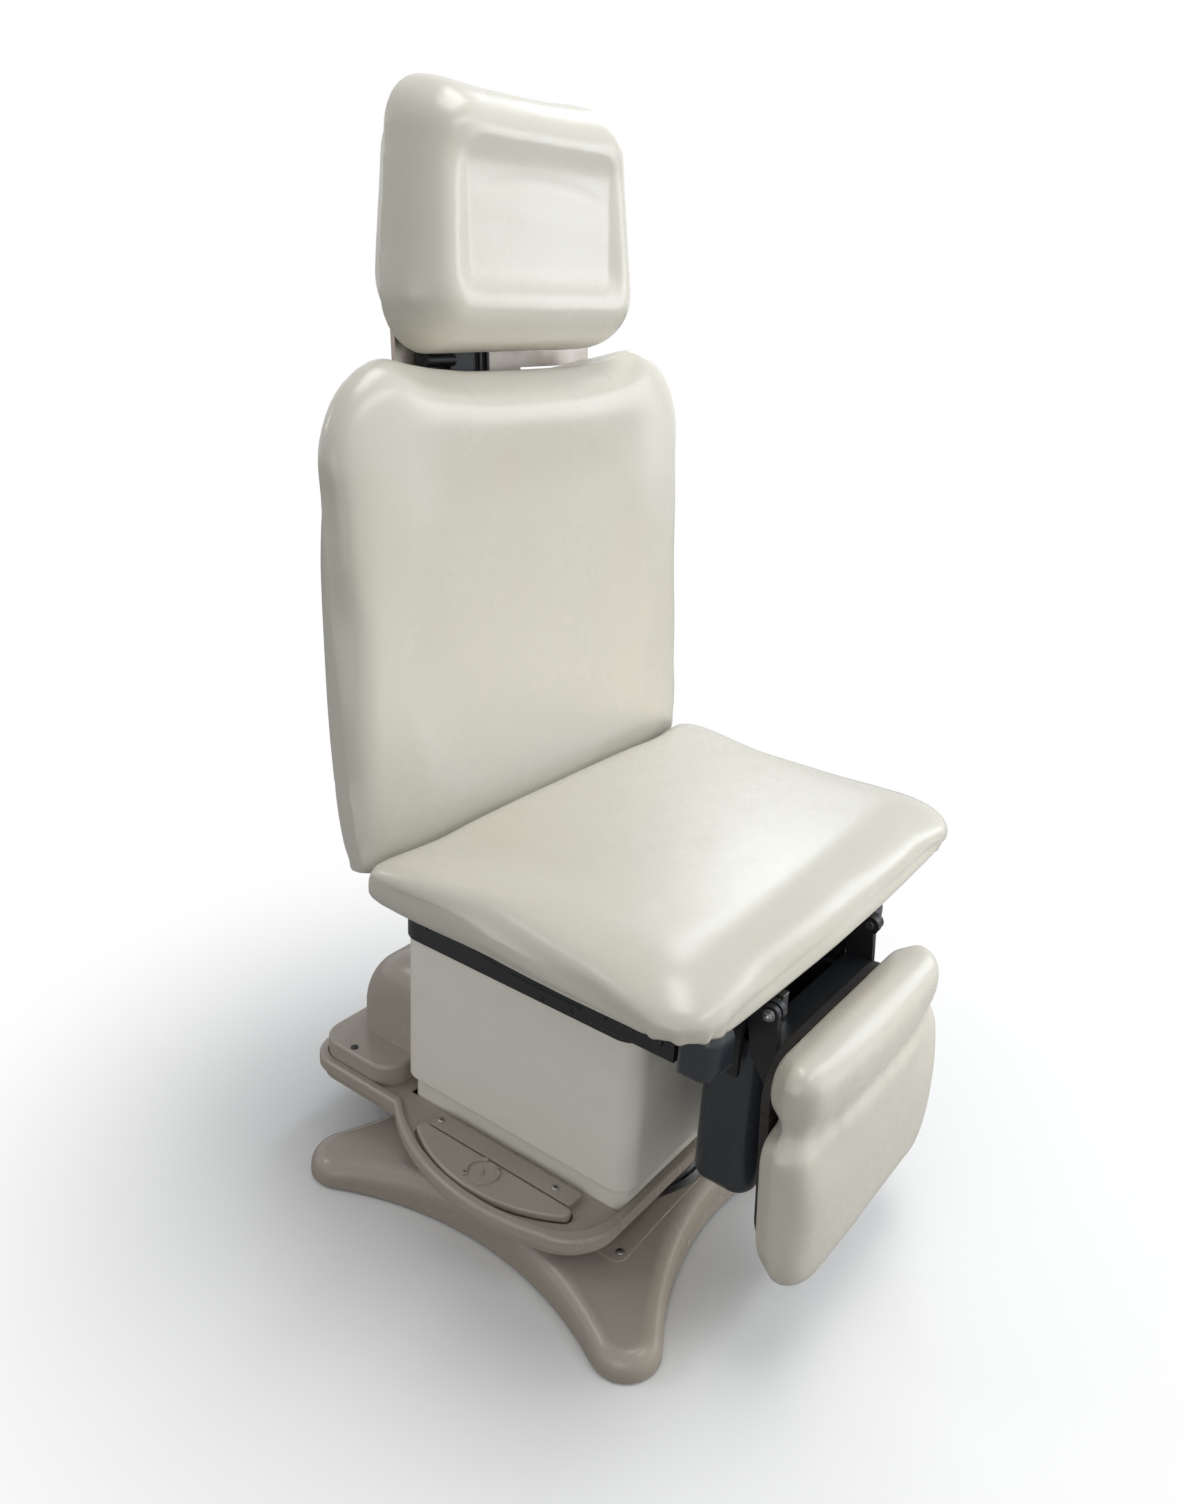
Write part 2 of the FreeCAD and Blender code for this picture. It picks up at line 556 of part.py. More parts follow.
def lift():
    """The rising column stages, their covers and the carriage on top."""
    high = BOX_TOP - 5
    save("column_stage_2", column_stage(1))
    notch = strap_notch(COL_TOP + 2 * STRAP_RISE - STRAP_T - 0.6)
    save("lift_cover_second", cover_shell(2, BOX_LOW + 3, high).cut(notch))
    save("column_stage_3", column_stage(2))
    save("lift_cover_third", cover_shell(1, BOX_LOW + 3, high))
    save("column_stage_4", column_stage(3))
    save("lift_cover_upper", cover_shell(0, BOX_LOW, BOX_TOP))
    top = BOX_TOP + CARRIAGE_T
    plate = rounded_block(-BOX_X, BOX_X, BOX_FRONT, BOX_REAR, BOX_TOP, top, BOX_R)
    plate = plate.cut(rod(0, TILT_DRIVE_Y, 0, ROD_R + 3, 500))
    for ear in both_sides(make_carriage_ear(top)):
        plate = joined(plate, ear)
    save("carriage_plate", plate)
    pins = [rod(s * RAIL_X - (12 if s > 0 else RAIL_W + 2), TILT_Y, TILT_Z, 6, RAIL_W + 14, V(1, 0, 0))
            for s in (1, -1)]
    save("tilt_pins", *pins)
    save("carriage_band", make_band(top))
    holes = [(s, y) for s in (1, -1) for y in (-28.0, -68.0)]
    save("band_screws", *[screw(s * (BOX_X + BAND_T), y, BOX_TOP + 5, V(s, 0, 0), 3.5, 1.4, 1.7, 2.5)
                          for s, y in holes])
    barrel = joined(rod(0, TILT_DRIVE_Y, BOX_TOP - 135, 26, 135), rod(0, TILT_DRIVE_Y, BOX_TOP - 8, 36, 8))
    save("tilt_barrel", barrel.cut(rod(0, TILT_DRIVE_Y, BOX_TOP - 131, ROD_R + FIT, 140)))


def make_carriage_ear(low):
    """Small ear that carries one tilt pin, inside the seat rail."""
    x0, x1 = RAIL_X - 12, RAIL_X - 2
    ear = plate_yz([(TILT_Y - 13, low - 1), (TILT_Y + 13, low - 1), (TILT_Y + 13, TILT_Z),
                    (TILT_Y - 13, TILT_Z)], x0, x1)
    ear = joined(ear, rod(x0, TILT_Y, TILT_Z, 13, x1 - x0, V(1, 0, 0)))
    return ear.cut(rod(x0 - 1, TILT_Y, TILT_Z, 6, x1 - x0 + 2, V(1, 0, 0)))


def make_band(top):
    """Black surround on the lift cover: low all round, tall beside the seat rails."""
    x1, y0, y1 = BOX_X + BAND_T, BOX_FRONT - BAND_T, BOX_REAR + BAND_T
    ring_low = rounded_block(-x1, x1, y0, y1, BOX_TOP, BAND_TOP, BOX_R + BAND_T)
    hole = rounded_block(-BOX_X, BOX_X, BOX_FRONT, BOX_REAR, BOX_TOP - 1, BAND_TOP + 1, BOX_R)
    band = ring_low.cut(hole)
    band = band.cut(box(-400, 400, y0 - 1, BAND_FRONT, top, BAND_TOP + 1))
    inside = RAIL_X + RAIL_W
    band = band.cut(box(-inside, inside, 150, y1 + 1, top + 6, BAND_TOP + 1))
    corner = 18.0
    trim = box(-400, 400, y1 - corner, y1 + 1, BAND_TOP - corner, BAND_TOP + 1)
    trim = trim.cut(rod(-400, y1 - corner, BAND_TOP - corner, corner, 800, V(1, 0, 0)))
    band = band.cut(trim)
    for s in (1, -1):
        scoop = plate_yz([(112, 350), (104, 345), (-4, 337), (-22, 337), (-84, 337), (-84, BAND_TOP + 1),
                          (8, BAND_TOP + 1), (30, 352)], s * (BOX_X + 1.5), s * (BOX_X + 5))
        band = band.cut(scoop)
        band = band.cut(rod(s * (BOX_X - 2), TILT_Y, TILT_Z, 9, 10, V(s, 0, 0)))
        for y in (-28.0, -68.0):
            band = band.cut(rod(s * (BOX_X - 2), y, BOX_TOP + 5, 1.7, 10, V(s, 0, 0)))
    return band


# Seat

def seat_outline(inset_side, inset_front, z):
    """Seat plan: straight rear, near straight sides, soft front corners."""
    x_rear = SEAT_X - 16 - inset_side
    x_front = SEAT_X - inset_side
    front = SEAT_FRONT + inset_front
    c = SEAT_CORNER
    edges = [line((x_rear, SEAT_REAR, z), (-x_rear, SEAT_REAR, z)),
             arc((x_front - c, front + 5, z), (0, front, z), (-x_front + c, front + 5, z))]
    k = c * (1 - math.sqrt(0.5))
    for s in (1, -1):
        edges.append(line((s * x_rear, SEAT_REAR, z), (s * x_front, front + 5 + c, z)))
        edges.append(arc((s * x_front, front + 5 + c, z), (s * (x_front - k), front + 5 + k, z),
                         (s * (x_front - c), front + 5, z)))
    return Part.Wire(Part.__sortEdges__(edges))


def make_pad(low_wire, mid_wire, top_z, edge_r, open_end):
    """Cushion: sides drawn in underneath, upright rim, softly rounded top edge."""
    under = Part.makeLoft([low_wire, mid_wire], True, True)
    mid_z = mid_wire.BoundBox.ZMin
    rim = Part.Face(mid_wire).extrude(V(0, 0, top_z - mid_z))
    pad = under.fuse(rim).removeSplitter()
    return rounded(pad, edge_r, lambda e: at_height(e, top_z) and not open_end(e))


def make_seat_cushion():
    """Seat pad with a drawn-in underside and a rolled front."""
    low = seat_outline(SIDE_IN, 34, BOARD_LOW + BOARD_T + SOFT)
    mid = seat_outline(0, 0, TOP_Z - SEAT_EDGE - PAD_UNDER_R)
    pad = make_pad(low, mid, TOP_Z, SEAT_EDGE,
                   lambda e: e.BoundBox.YLength < 1e-3 and abs(e.BoundBox.YMin - SEAT_REAR) < 1e-3)
    low_rim = TOP_Z - SEAT_EDGE - PAD_UNDER_R
    return rounded(pad, PAD_UNDER_R, lambda e: at_height(e, low_rim) and e.BoundBox.YMin < SEAT_REAR - 1)


def make_seat_frame():
    """Welded frame: tilting side rails, risers under the board, hinge ears and drive supports."""
    rail = box(RAIL_X, RAIL_X + RAIL_W, -206, TILT_Y, RAIL_LOW, RISER_LOW)
    rail = joined(rail, rod(RAIL_X, TILT_Y, TILT_Z, RISER_LOW - TILT_Z, RAIL_W, V(1, 0, 0)))
    riser = box(RISER_X, RAIL_X + RAIL_W - 2, -240, SEAT_REAR, RISER_LOW, BOARD_LOW)
    ear = plate_yz([(SEAT_REAR - 14, RISER_LOW), (SEAT_REAR - 14, BOARD_LOW), (SEAT_REAR + 2, BOARD_LOW),
                    (BACK_Y - 13, BACK_Z - 30), (BACK_Y - 13, BACK_Z), (BACK_Y + 13, BACK_Z),
                    (BACK_Y + 13, BACK_Z - 40), (BACK_Y, RISER_LOW + 6)],
                   RISER_X + 8, RISER_X + 16)
    ear = joined(ear, rod(RISER_X + 8, BACK_Y, BACK_Z, 13, 8, V(1, 0, 0)))
    side = joined(rail, riser, ear)
    side = side.cut(rod(RISER_X - 20, BACK_Y, BACK_Z, 6, 60, V(1, 0, 0)))
    side = side.cut(rod(RAIL_X - 20, TILT_Y, TILT_Z, 6 + FIT, 60, V(1, 0, 0)))
    pair = both_sides(side)
    cross = box(-RAIL_X, RAIL_X, TILT_DRIVE_Y - 46, TILT_DRIVE_Y + 50, RAIL_LOW + 1, RAIL_LOW + 9)
    cross = cross.cut(box(-18, 18, TILT_DRIVE_Y - 38, TILT_DRIVE_Y + 40, 0, 500))
    rear = box(-RAIL_X, RAIL_X, 70, 105, RAIL_LOW + 1, RAIL_LOW + 9)
    head = box(-RAIL_X, RAIL_X, -206, -196, RAIL_LOW + 1, BOARD_LOW)
    head = head.cut(rod(-CRANK_X, -220, leg_line(), ROD_R + FIT, 40, V(0, 1, 0)))
    stay = box(-RISER_X, RISER_X, 42, 50, back_line() - 22, BOARD_LOW)
    stay = stay.cut(rod(CRANK_X, 20, back_line(), ROD_R + FIT, 60, V(0, 1, 0)))
    frame = joined(pair[0], pair[1], cross, rear, head, stay)
    for s in (1, -1):
        lug = box(s * 20, s * 26, TILT_DRIVE_Y - 9, TILT_DRIVE_Y + 9, RAIL_LOW + 8, TILT_DRIVE_Z + 9)
        frame = joined(frame, lug)
    pin = rod(-26, TILT_DRIVE_Y, TILT_DRIVE_Z, 5, 52, V(1, 0, 0))
    return joined(frame, pin)


def make_leg_bracket():
    """Bright steel bracket under the riser that carries one leg hinge pin."""
    x0, x1 = RISER_X - 2, RISER_X + 4
    web = plate_yz([(LEG_Y, LEG_Z - 10), (-250, LEG_Z - 12), (-250, 306), (-224, 306), (-208, RISER_LOW),
                    (-208, BOARD_LOW), (LEG_Y, BOARD_LOW)], x0, x1)
    foot = box(x0, x1 + 10, -240, -208, RISER_LOW - 5, RISER_LOW)
    body = joined(web, foot, rod(x0, LEG_Y, LEG_Z, 10, x1 - x0, V(1, 0, 0)))
    body = body.cut(box(RISER_X, RISER_X + 50, -240, -200, RISER_LOW, BOARD_LOW + 1))
    return body.cut(rod(x0 - 1, LEG_Y, LEG_Z, 5, x1 - x0 + 2, V(1, 0, 0)))


def back_line():
    """Height of the back drive's rod."""
    return BACK_Z - 0.87 * BACK_CRANK


def leg_line():
    """Height of the leg drive's rod."""
    return LEG_Z - 0.86 * LEG_CRANK


def seat():
    """Seat frame, board and cushion with the drives and covers that tilt with them."""
    save("seat_frame", make_seat_frame())
    board = rounded_block(-210, 210, -250, SEAT_REAR - 2, BOARD_LOW, BOARD_LOW + BOARD_T, 30)
    save("seat_board", board)
    save("seat_cushion", make_seat_cushion())
    out = RAIL_X + RAIL_W
    bar = box(out, out + 18, -206, BAND_FRONT - 1, RAIL_LOW - 4, RISER_LOW + 2)
    bar = bar.cut(box(out + 6, out + 12, -207, BAND_FRONT - 10, RAIL_LOW, RISER_LOW - 2))
    bar = rounded(bar, 1.5, lambda e: e.BoundBox.YLength > 50 and e.BoundBox.XMin > out + 17)
    bolts = []
    for y in (-116.0, -186.0):
        bar = bar.cut(rod(out + 9, y, TILT_Z, 4 + FIT, 20, V(1, 0, 0)))
        bolts += both_sides(screw(out + 18, y, TILT_Z, V(1, 0, 0), 6.5, 3, 4, 5))
    save("side_bars", *both_sides(bar))
    save("bar_bolts", *bolts)
    barrel = rod(CRANK_X, 42, back_line(), DRIVE_R, 176, V(0, -1, 0))
    barrel = joined(barrel, box(CRANK_X - 20, CRANK_X + 20, -170, -128, back_line() - 15, back_line() + 15))
    save("back_barrel", barrel.cut(rod(CRANK_X, 43, back_line(), ROD_R + FIT, 152, V(0, -1, 0))))
    barrel = rod(-CRANK_X, -196, leg_line(), DRIVE_R - 1.5, 100, V(0, 1, 0))
    barrel = joined(barrel, box(-CRANK_X - 18, -CRANK_X + 18, -98, -62, leg_line() - 14, leg_line() + 16))
    save("leg_barrel", barrel.cut(rod(-CRANK_X, -197, leg_line(), ROD_R + FIT, 84, V(0, 1, 0))))
    save("back_hinge_pins", *both_sides(rod(RISER_X + 4, BACK_Y, BACK_Z, 6, 26, V(1, 0, 0))))
    save("leg_hinge_brackets", *both_sides(make_leg_bracket()))
    save("leg_hinge_pins", *both_sides(rod(RISER_X - 13, LEG_Y, LEG_Z, 5, 18, V(1, 0, 0))))
    save("pivot_covers", *both_sides(make_pivot_cover()))
    save("leg_drive_cover", make_drive_cover())


def make_pivot_cover():
    """Rounded cover outside the leg hinge."""
    x0, x1 = RAIL_X + RAIL_W - 2, RAIL_X + RAIL_W + 36
    loop = [(-214, RISER_LOW - 34), (-214, BOARD_LOW), (-262, BOARD_LOW), (-262, RISER_LOW - 34)]
    block = plate_yz(loop, x0, x1)
    block = rounded(block, 22, lambda e: e.BoundBox.XLength > 5 and e.BoundBox.YMin < -250)
    block = rounded(block, 16, lambda e: e.BoundBox.XLength < 1e-3 and e.BoundBox.XMin > x1 - 1)
    return block


def make_drive_cover():
    """Dark shroud that hangs in front of the column and hides the leg drive."""
    cover = rounded_block(-104, 104, -268, -192, 132, RAIL_LOW, 24)
    cover = rounded(cover, 18, lambda e: at_height(e, 132))
    room = rounded_block(-100, 100, -264, -196, 150, RAIL_LOW + 1, 20)
    cover = cover.cut(room)
    tab = box(-60, 60, -208, -190, RAIL_LOW - 4, RAIL_LOW + 1)
    return joined(cover, tab)


# Back and headrest

def raise_back(shape):
    """Turn a piece drawn flat up to the photographed back angle."""
    up = shape.copy()
    up.rotate(V(0, BACK_Y, BACK_Z), V(1, 0, 0), BACK_UP)
    return up


def back_outline(inset, z):
    """Back plan: narrower foot, rounded shoulders, dipped top edge."""
    foot, wide = BACK_FOOT_X - inset, BACK_X - inset
    top = BACK_TOP - 0.3 * inset
    horn = 196.0 - 0.6 * inset
    edges = [line((foot, BACK_LOW, z), (-foot, BACK_LOW, z)),
             arc((horn, top, z), (0, top - BACK_DIP, z), (-horn, top, z))]
    for s in (1, -1):
        edges.append(arc((s * foot, BACK_LOW, z), (s * wide, BACK_Y + 210, z),
                         (s * (wide - 6), top - 126, z)))
        edges.append(arc((s * (wide - 6), top - 126, z), (s * (wide - 34), top - 34, z), (s * horn, top, z)))
    return Part.Wire(Part.__sortEdges__(edges))


def make_back_cushion():
    """Back pad with a shallow dish between soft side bolsters and slots for the hinge ears."""
    low = back_outline(64, BOARD_LOW + BOARD_T + SOFT)
    mid = back_outline(0, TOP_Z - BACK_EDGE - PAD_UNDER_R)
    pad = make_pad(low, mid, TOP_Z, BACK_EDGE,
                   lambda e: e.BoundBox.YLength < 1e-3 and abs(e.BoundBox.YMin - BACK_LOW) < 1e-3)
    dish = Part.makeSphere(2600, V(0, BACK_Y + 230, TOP_Z + 2600 - 9), V(1, 0, 0))
    pad = pad.cut(dish)
    for s in (1, -1):
        pad = pad.cut(box(s * (RISER_X + 4), s * (RISER_X + 32), BACK_LOW - 5, BACK_Y + 22, 380, BACK_Z + 18))
    return pad


def make_back_frame():
    """Side bars, hinge arms, cross bars and the crank for the back drive."""
    arm = plate_yz([(BACK_Y - 13, BACK_Z), (BACK_Y + 13, BACK_Z), (BACK_Y + 20, BOARD_LOW - 2),
                    (BACK_Y + 70, BOARD_LOW - 2), (BACK_Y + 70, BOARD_LOW - 26),
                    (BACK_Y - 2, BOARD_LOW - 24)],
                   RISER_X + 18, RISER_X + 26)
    arm = joined(arm, rod(RISER_X + 18, BACK_Y, BACK_Z, 13, 8, V(1, 0, 0)))
    bar = box(RISER_X + 18, RISER_X + 40, BACK_Y + 24, BACK_TOP - 50, BOARD_LOW - 26, BOARD_LOW)
    side = joined(arm, bar)
    side = side.cut(rod(RISER_X, BACK_Y, BACK_Z, 6 + FIT, 60, V(1, 0, 0)))
    pair = both_sides(side)
    low = box(-RISER_X - 20, RISER_X + 20, BACK_Y + 40, BACK_Y + 66, BOARD_LOW - 26, BOARD_LOW)
    high = box(-RISER_X - 20, RISER_X + 20, BACK_TOP - 250, BACK_TOP - 228, BOARD_LOW - 26, BOARD_LOW)
    frame = joined(pair[0], pair[1], low, high)
    half = math.radians(BACK_UP) / 2
    pin_y = BACK_Y - BACK_CRANK * math.sin(half)
    pin_z = BACK_Z - BACK_CRANK * math.cos(half)
    for s in (1, -1):
        cheek = box(CRANK_X + s * 9, CRANK_X + s * 15, pin_y - 9, BACK_Y + 42, pin_z - 9, pin_z + 8)
        frame = joined(frame, cheek)
    return joined(frame, rod(CRANK_X - 15, pin_y, pin_z, 6, 30, V(1, 0, 0)))


def back_fork():
    """Rod of the back drive with the upright slot that holds the crank pin."""
    half = math.radians(BACK_UP) / 2
    y = BACK_Y + BACK_CRANK * math.sin(half)
    z_pin = BACK_Z - BACK_CRANK * math.cos(half)
    low, high = BACK_Z - BACK_CRANK - 8, z_pin + 9
    slot = 6 + 3.2
    fork = box(CRANK_X - 7, CRANK_X + 7, y - slot - 5, y + slot + 5, low - 4, high)
    fork = fork.cut(box(CRANK_X - 8, CRANK_X + 8, y - slot, y + slot, low, high + 1))
    reach = BACK_CRANK * 2 * math.sin(half)
    return joined(fork, rod(CRANK_X, y - slot - 1, back_line(), ROD_R, reach + 44, V(0, -1, 0)))


def back():
    """Back section, its drive rod and the headrest with its post and lock knob."""
    save("back_frame", raise_back(make_back_frame()))
    board = rounded_block(-205, 205, BACK_Y + 26, BACK_TOP - 60, BOARD_LOW, BOARD_LOW + BOARD_T, 40)
    save("back_board", raise_back(board))
    save("back_cushion", raise_back(make_back_cushion()))
    save("back_rod", back_fork())
    low = HEAD_PIVOT_Z - POST_T / 2
    rails = []
    knob_y = BACK_TOP - 34
    rail_0, rail_1 = BACK_TOP - 220, BACK_TOP - 22
    for s in (1, -1):
        rail = box(s * (POST_X + FIT), s * (POST_X + 14), rail_0, rail_1, low - 8, BOARD_LOW)
        lip = box(s * (POST_X - 10), s * (POST_X + 1), rail_0, rail_1, low - 8, low - FIT)
        guide = joined(rail, lip)
        guide = guide.cut(rod(-POST_X - 20, knob_y, BOARD_LOW - 5, 3.2 + FIT, 16, V(1, 0, 0)))
        rails.append(raise_back(guide))
    save("headrest_guides", *rails)
    save("headrest_post", raise_back(make_post(low)))
    save("headrest_board", raise_back(make_head_board()))
    save("headrest_cushion", raise_back(make_head_cushion()))
    stem = rod(-POST_X - 20, knob_y, BOARD_LOW - 5, 3.2, 15, V(1, 0, 0))
    grip = rod(-POST_X - 48, knob_y, BOARD_LOW - 5, 11, 32, V(1, 0, 0))
    grip = rounded(grip, 2, lambda e: e.BoundBox.XLength < 1e-3)
    save("headrest_knob", raise_back(joined(stem, grip)))


def make_post(low):
    """Sliding plate that carries the headrest hinge, with two ribs."""
    plate = box(-POST_X, POST_X, BACK_TOP - 210, HEAD_PIVOT_Y - 12, low, low + POST_T)
    wing = rounded_block(-POST_WING_LEFT, POST_WING_X, BACK_TOP - 18, HEAD_LOW + 44, low, low + POST_T, 8)
    body = joined(plate, wing)
    for s in (1, -1):
        rib = box(s * 14, s * 20, BACK_TOP - 42, HEAD_PIVOT_Y - 14, low + POST_T - 1, low + POST_T + 3.5)
        body = joined(body, rib)
        knuckle = joined(box(s * 30, s * 46, HEAD_PIVOT_Y - 14, HEAD_PIVOT_Y, low, low + POST_T),
                         rod(s * 38 - 8, HEAD_PIVOT_Y, HEAD_PIVOT_Z, 8, 16, V(1, 0, 0)))
        body = joined(body, knuckle)
    return body.cut(rod(-60, HEAD_PIVOT_Y, HEAD_PIVOT_Z, 4 + FIT, 120, V(1, 0, 0)))


def make_head_board():
    """Headrest board with its hinge lug and pin."""
    base_z = HEAD_PIVOT_Z + 13
    board = rounded_block(-105, 105, HEAD_LOW + 36, HEAD_TOP - 30, base_z, base_z + 9, 20)
    lug = box(-28, 28, HEAD_PIVOT_Y - 8, HEAD_PIVOT_Y + 8, HEAD_PIVOT_Z, base_z + 1)
    lug = joined(lug, rod(-28, HEAD_PIVOT_Y, HEAD_PIVOT_Z, 8, 56, V(1, 0, 0)))
    return joined(board, lug, rod(-48, HEAD_PIVOT_Y, HEAD_PIVOT_Z, 4, 96, V(1, 0, 0)))


def head_outline(inset, z):
    """Headrest plan: wider foot, narrower dipped top, rounded corners."""
    low, high = HEAD_LOW + inset, HEAD_TOP - inset
    foot, top = HEAD_LOW_X - inset, HEAD_TOP_X - inset
    c = HEAD_CORNER
    k = c * (1 - math.sqrt(0.5))
    edges = [line((foot - c, low, z), (-foot + c, low, z)),
             arc((top - c, high, z), (0, high - HEAD_DIP, z), (-top + c, high, z))]
    for s in (1, -1):
        edges.append(arc((s * (foot - c), low, z), (s * (foot - k), low + k, z), (s * foot, low + c, z)))
        edges.append(line((s * foot, low + c, z), (s * top, high - c, z)))
        edges.append(arc((s * top, high - c, z), (s * (top - k), high - k, z), (s * (top - c), high, z)))
    return Part.Wire(Part.__sortEdges__(edges))


def make_head_cushion():
    """Headrest pad with a sunk panel in the middle."""
    low = head_outline(HEAD_IN, HEAD_PIVOT_Z + 22 + SOFT)
    mid = head_outline(0, HEAD_Z - HEAD_EDGE - PAD_UNDER_R)
    pad = make_pad(low, mid, HEAD_Z, HEAD_EDGE, lambda e: False)
    pad = rounded(pad, PAD_UNDER_R, lambda e: at_height(e, HEAD_Z - HEAD_EDGE - PAD_UNDER_R))
    sunk = box(-110, 110, HEAD_LOW + 64, HEAD_TOP - 58, HEAD_Z - 12, HEAD_Z + 5)
    sunk = rounded(sunk, 10, lambda e: e.BoundBox.ZLength > 1)
    sunk = rounded(sunk, 6, lambda e: at_height(e, HEAD_Z - 12))
    return pad.cut(sunk)


# Leg section

def lower_leg(shape):
    """Turn a piece drawn flat down to the photographed leg angle."""
    down = shape.copy()
    down.rotate(V(0, LEG_Y, LEG_Z), V(1, 0, 0), LEG_DOWN)
    return down


def leg_outline(near, far, half, corner, end, z):
    """Rounded rectangle in plan, from its near and far ends."""
    k = corner * (1 - math.sqrt(0.5))
    e = end * (1 - math.sqrt(0.5))
    edges = [line((half - corner, near, z), (-half + corner, near, z)),
             line((half - end, far, z), (-half + end, far, z))]
    for s in (1, -1):
        edges.append(arc((s * (half - corner), near, z), (s * (half - k), near - k, z),
                         (s * half, near - corner, z)))
        edges.append(line((s * half, near - corner, z), (s * half, far + end, z)))
        edges.append(arc((s * half, far + end, z), (s * (half - e), far + e, z), (s * (half - end), far, z)))
    return Part.Wire(Part.__sortEdges__(edges))


def leg_pad(near, far, half, corner, end):
    """One padded field of the leg cushion."""
    low = leg_outline(near - 10, far + 10, half - 14, corner, end, LEG_LOW + SOFT)
    mid = leg_outline(near, far, half, corner, end, LEG_HIGH - 30)
    return make_pad(low, mid, LEG_HIGH, 24, lambda e: False)


def make_leg_cushion():
    """Leg pad: a narrow roll and a long field with a channel between them."""
    near = LEG_Y - 28
    mid = near - LEG_ROLL
    far = near - LEG_LEN
    roll = leg_pad(near, mid - 3, LEG_X - 14, LEG_ROLL_R, LEG_ROLL_R)
    field = leg_pad(mid + 3, far, LEG_X, LEG_FIELD_R, LEG_END_R)
    web = box(-LEG_X + 50, LEG_X - 50, mid - 30, mid + 30, LEG_LOW + SOFT + 2, LEG_HIGH - 31)
    return joined(roll, field, web)


def make_leg_frame():
    """Hinge arms, the cover plate at the knee, the spine and the crank for the leg drive."""
    board = LEG_LOW - 10
    near = LEG_Y - 30
    arm = plate_yz([(LEG_Y + 4, LEG_Z - 10), (LEG_Y + 4, LEG_Z + 5), (near - 12, board), (near - 60, board),
                    (near - 60, board - 12), (near - 30, LEG_Z - 24), (LEG_Y - 10, LEG_Z - 30)],
                   RISER_X - 12, RISER_X - 4)
    arm = joined(arm, rod(RISER_X - 12, LEG_Y, LEG_Z, 11, 8, V(1, 0, 0)))
    arm = arm.cut(rod(RISER_X - 20, LEG_Y, LEG_Z, 5 + FIT, 40, V(1, 0, 0)))
    pair = both_sides(arm)
    shelf = box(-RISER_X + 4, RISER_X - 4, near - 18, near - 14, LEG_Z - 27, board)
    spine = box(-90, 90, near - 160, near - 16, board - 5, board)
    frame = joined(pair[0], pair[1], shelf, spine)
    half = math.radians(LEG_DOWN) / 2
    pin_y = LEG_Y - LEG_CRANK * math.sin(half)
    pin_z = LEG_Z - LEG_CRANK * math.cos(half)
    for s in (1, -1):
        cheek = box(-CRANK_X + s * 8, -CRANK_X + s * 13, near - 18, pin_y + 8, pin_z - 7, pin_z + 7)
        frame = joined(frame, cheek)
    return joined(frame, rod(-CRANK_X - 13, pin_y, pin_z, 5, 26, V(1, 0, 0)))


def leg_fork():
    """Rod of the leg drive with the fork that pushes the crank pin."""
    half = math.radians(LEG_DOWN) / 2
    y = LEG_Y + LEG_CRANK * math.sin(half)
    z_pin = LEG_Z - LEG_CRANK * math.cos(half)
    slot = 5 + 1.6
    low, high = LEG_Z - LEG_CRANK - 6, z_pin + 8
    fork = box(-CRANK_X - 6, -CRANK_X + 6, y - slot - 4, y + slot + 4, low, high + 4)
    fork = fork.cut(box(-CRANK_X - 7, -CRANK_X + 7, y - slot, y + slot, low - 1, high))
    reach = LEG_CRANK * 2 * math.sin(half)
    return joined(fork, rod(-CRANK_X, y + slot + 1, leg_line(), ROD_R, reach + 78, V(0, 1, 0)))


def leg():
    """Leg section and its drive rod."""
    near = LEG_Y - 30
    save("leg_frame", lower_leg(make_leg_frame()))
    board = rounded_block(-144, 144, near - LEG_LEN + 26, near - 12, LEG_LOW - 10, LEG_LOW, 50)
    save("leg_board", lower_leg(board))
    save("leg_cushion", lower_leg(make_leg_cushion()))
    save("leg_rod", leg_fork())


def tilt_drive():
    """Rod of the tilt drive with the lengthwise slot that lifts the seat frame's pin."""
    y, z = TILT_DRIVE_Y, TILT_DRIVE_Z
    slot = 5 + 1.5
    head = box(-14, 14, y - 13, y + 30, z - slot - 4, z + slot + 4)
    head = head.cut(box(-15, 15, y - 8, y + 25, z - slot, z + slot))
    save("tilt_rod", joined(head, rod(0, y, z - slot - 1, ROD_R, 130, V(0, 0, -1))))


base()
turntable()
pedal_and_brake()
lift()
seat()
back()
leg()
tilt_drive()
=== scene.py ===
"""Looks of a powered procedure table in chair form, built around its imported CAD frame.

Lengths in the pieces' classes are millimetres, as in the part's source; meshes are in metres.
"""

import json
import logging
import math
from dataclasses import asdict, dataclass, field
from enum import Enum
from typing import Callable, Iterable, Mapping, Optional, Sequence, Union

import bmesh
import bpy
import numpy as np
from mathutils import Matrix, Vector, noise
from mathutils.bvhtree import BVHTree
from mathutils.kdtree import KDTree


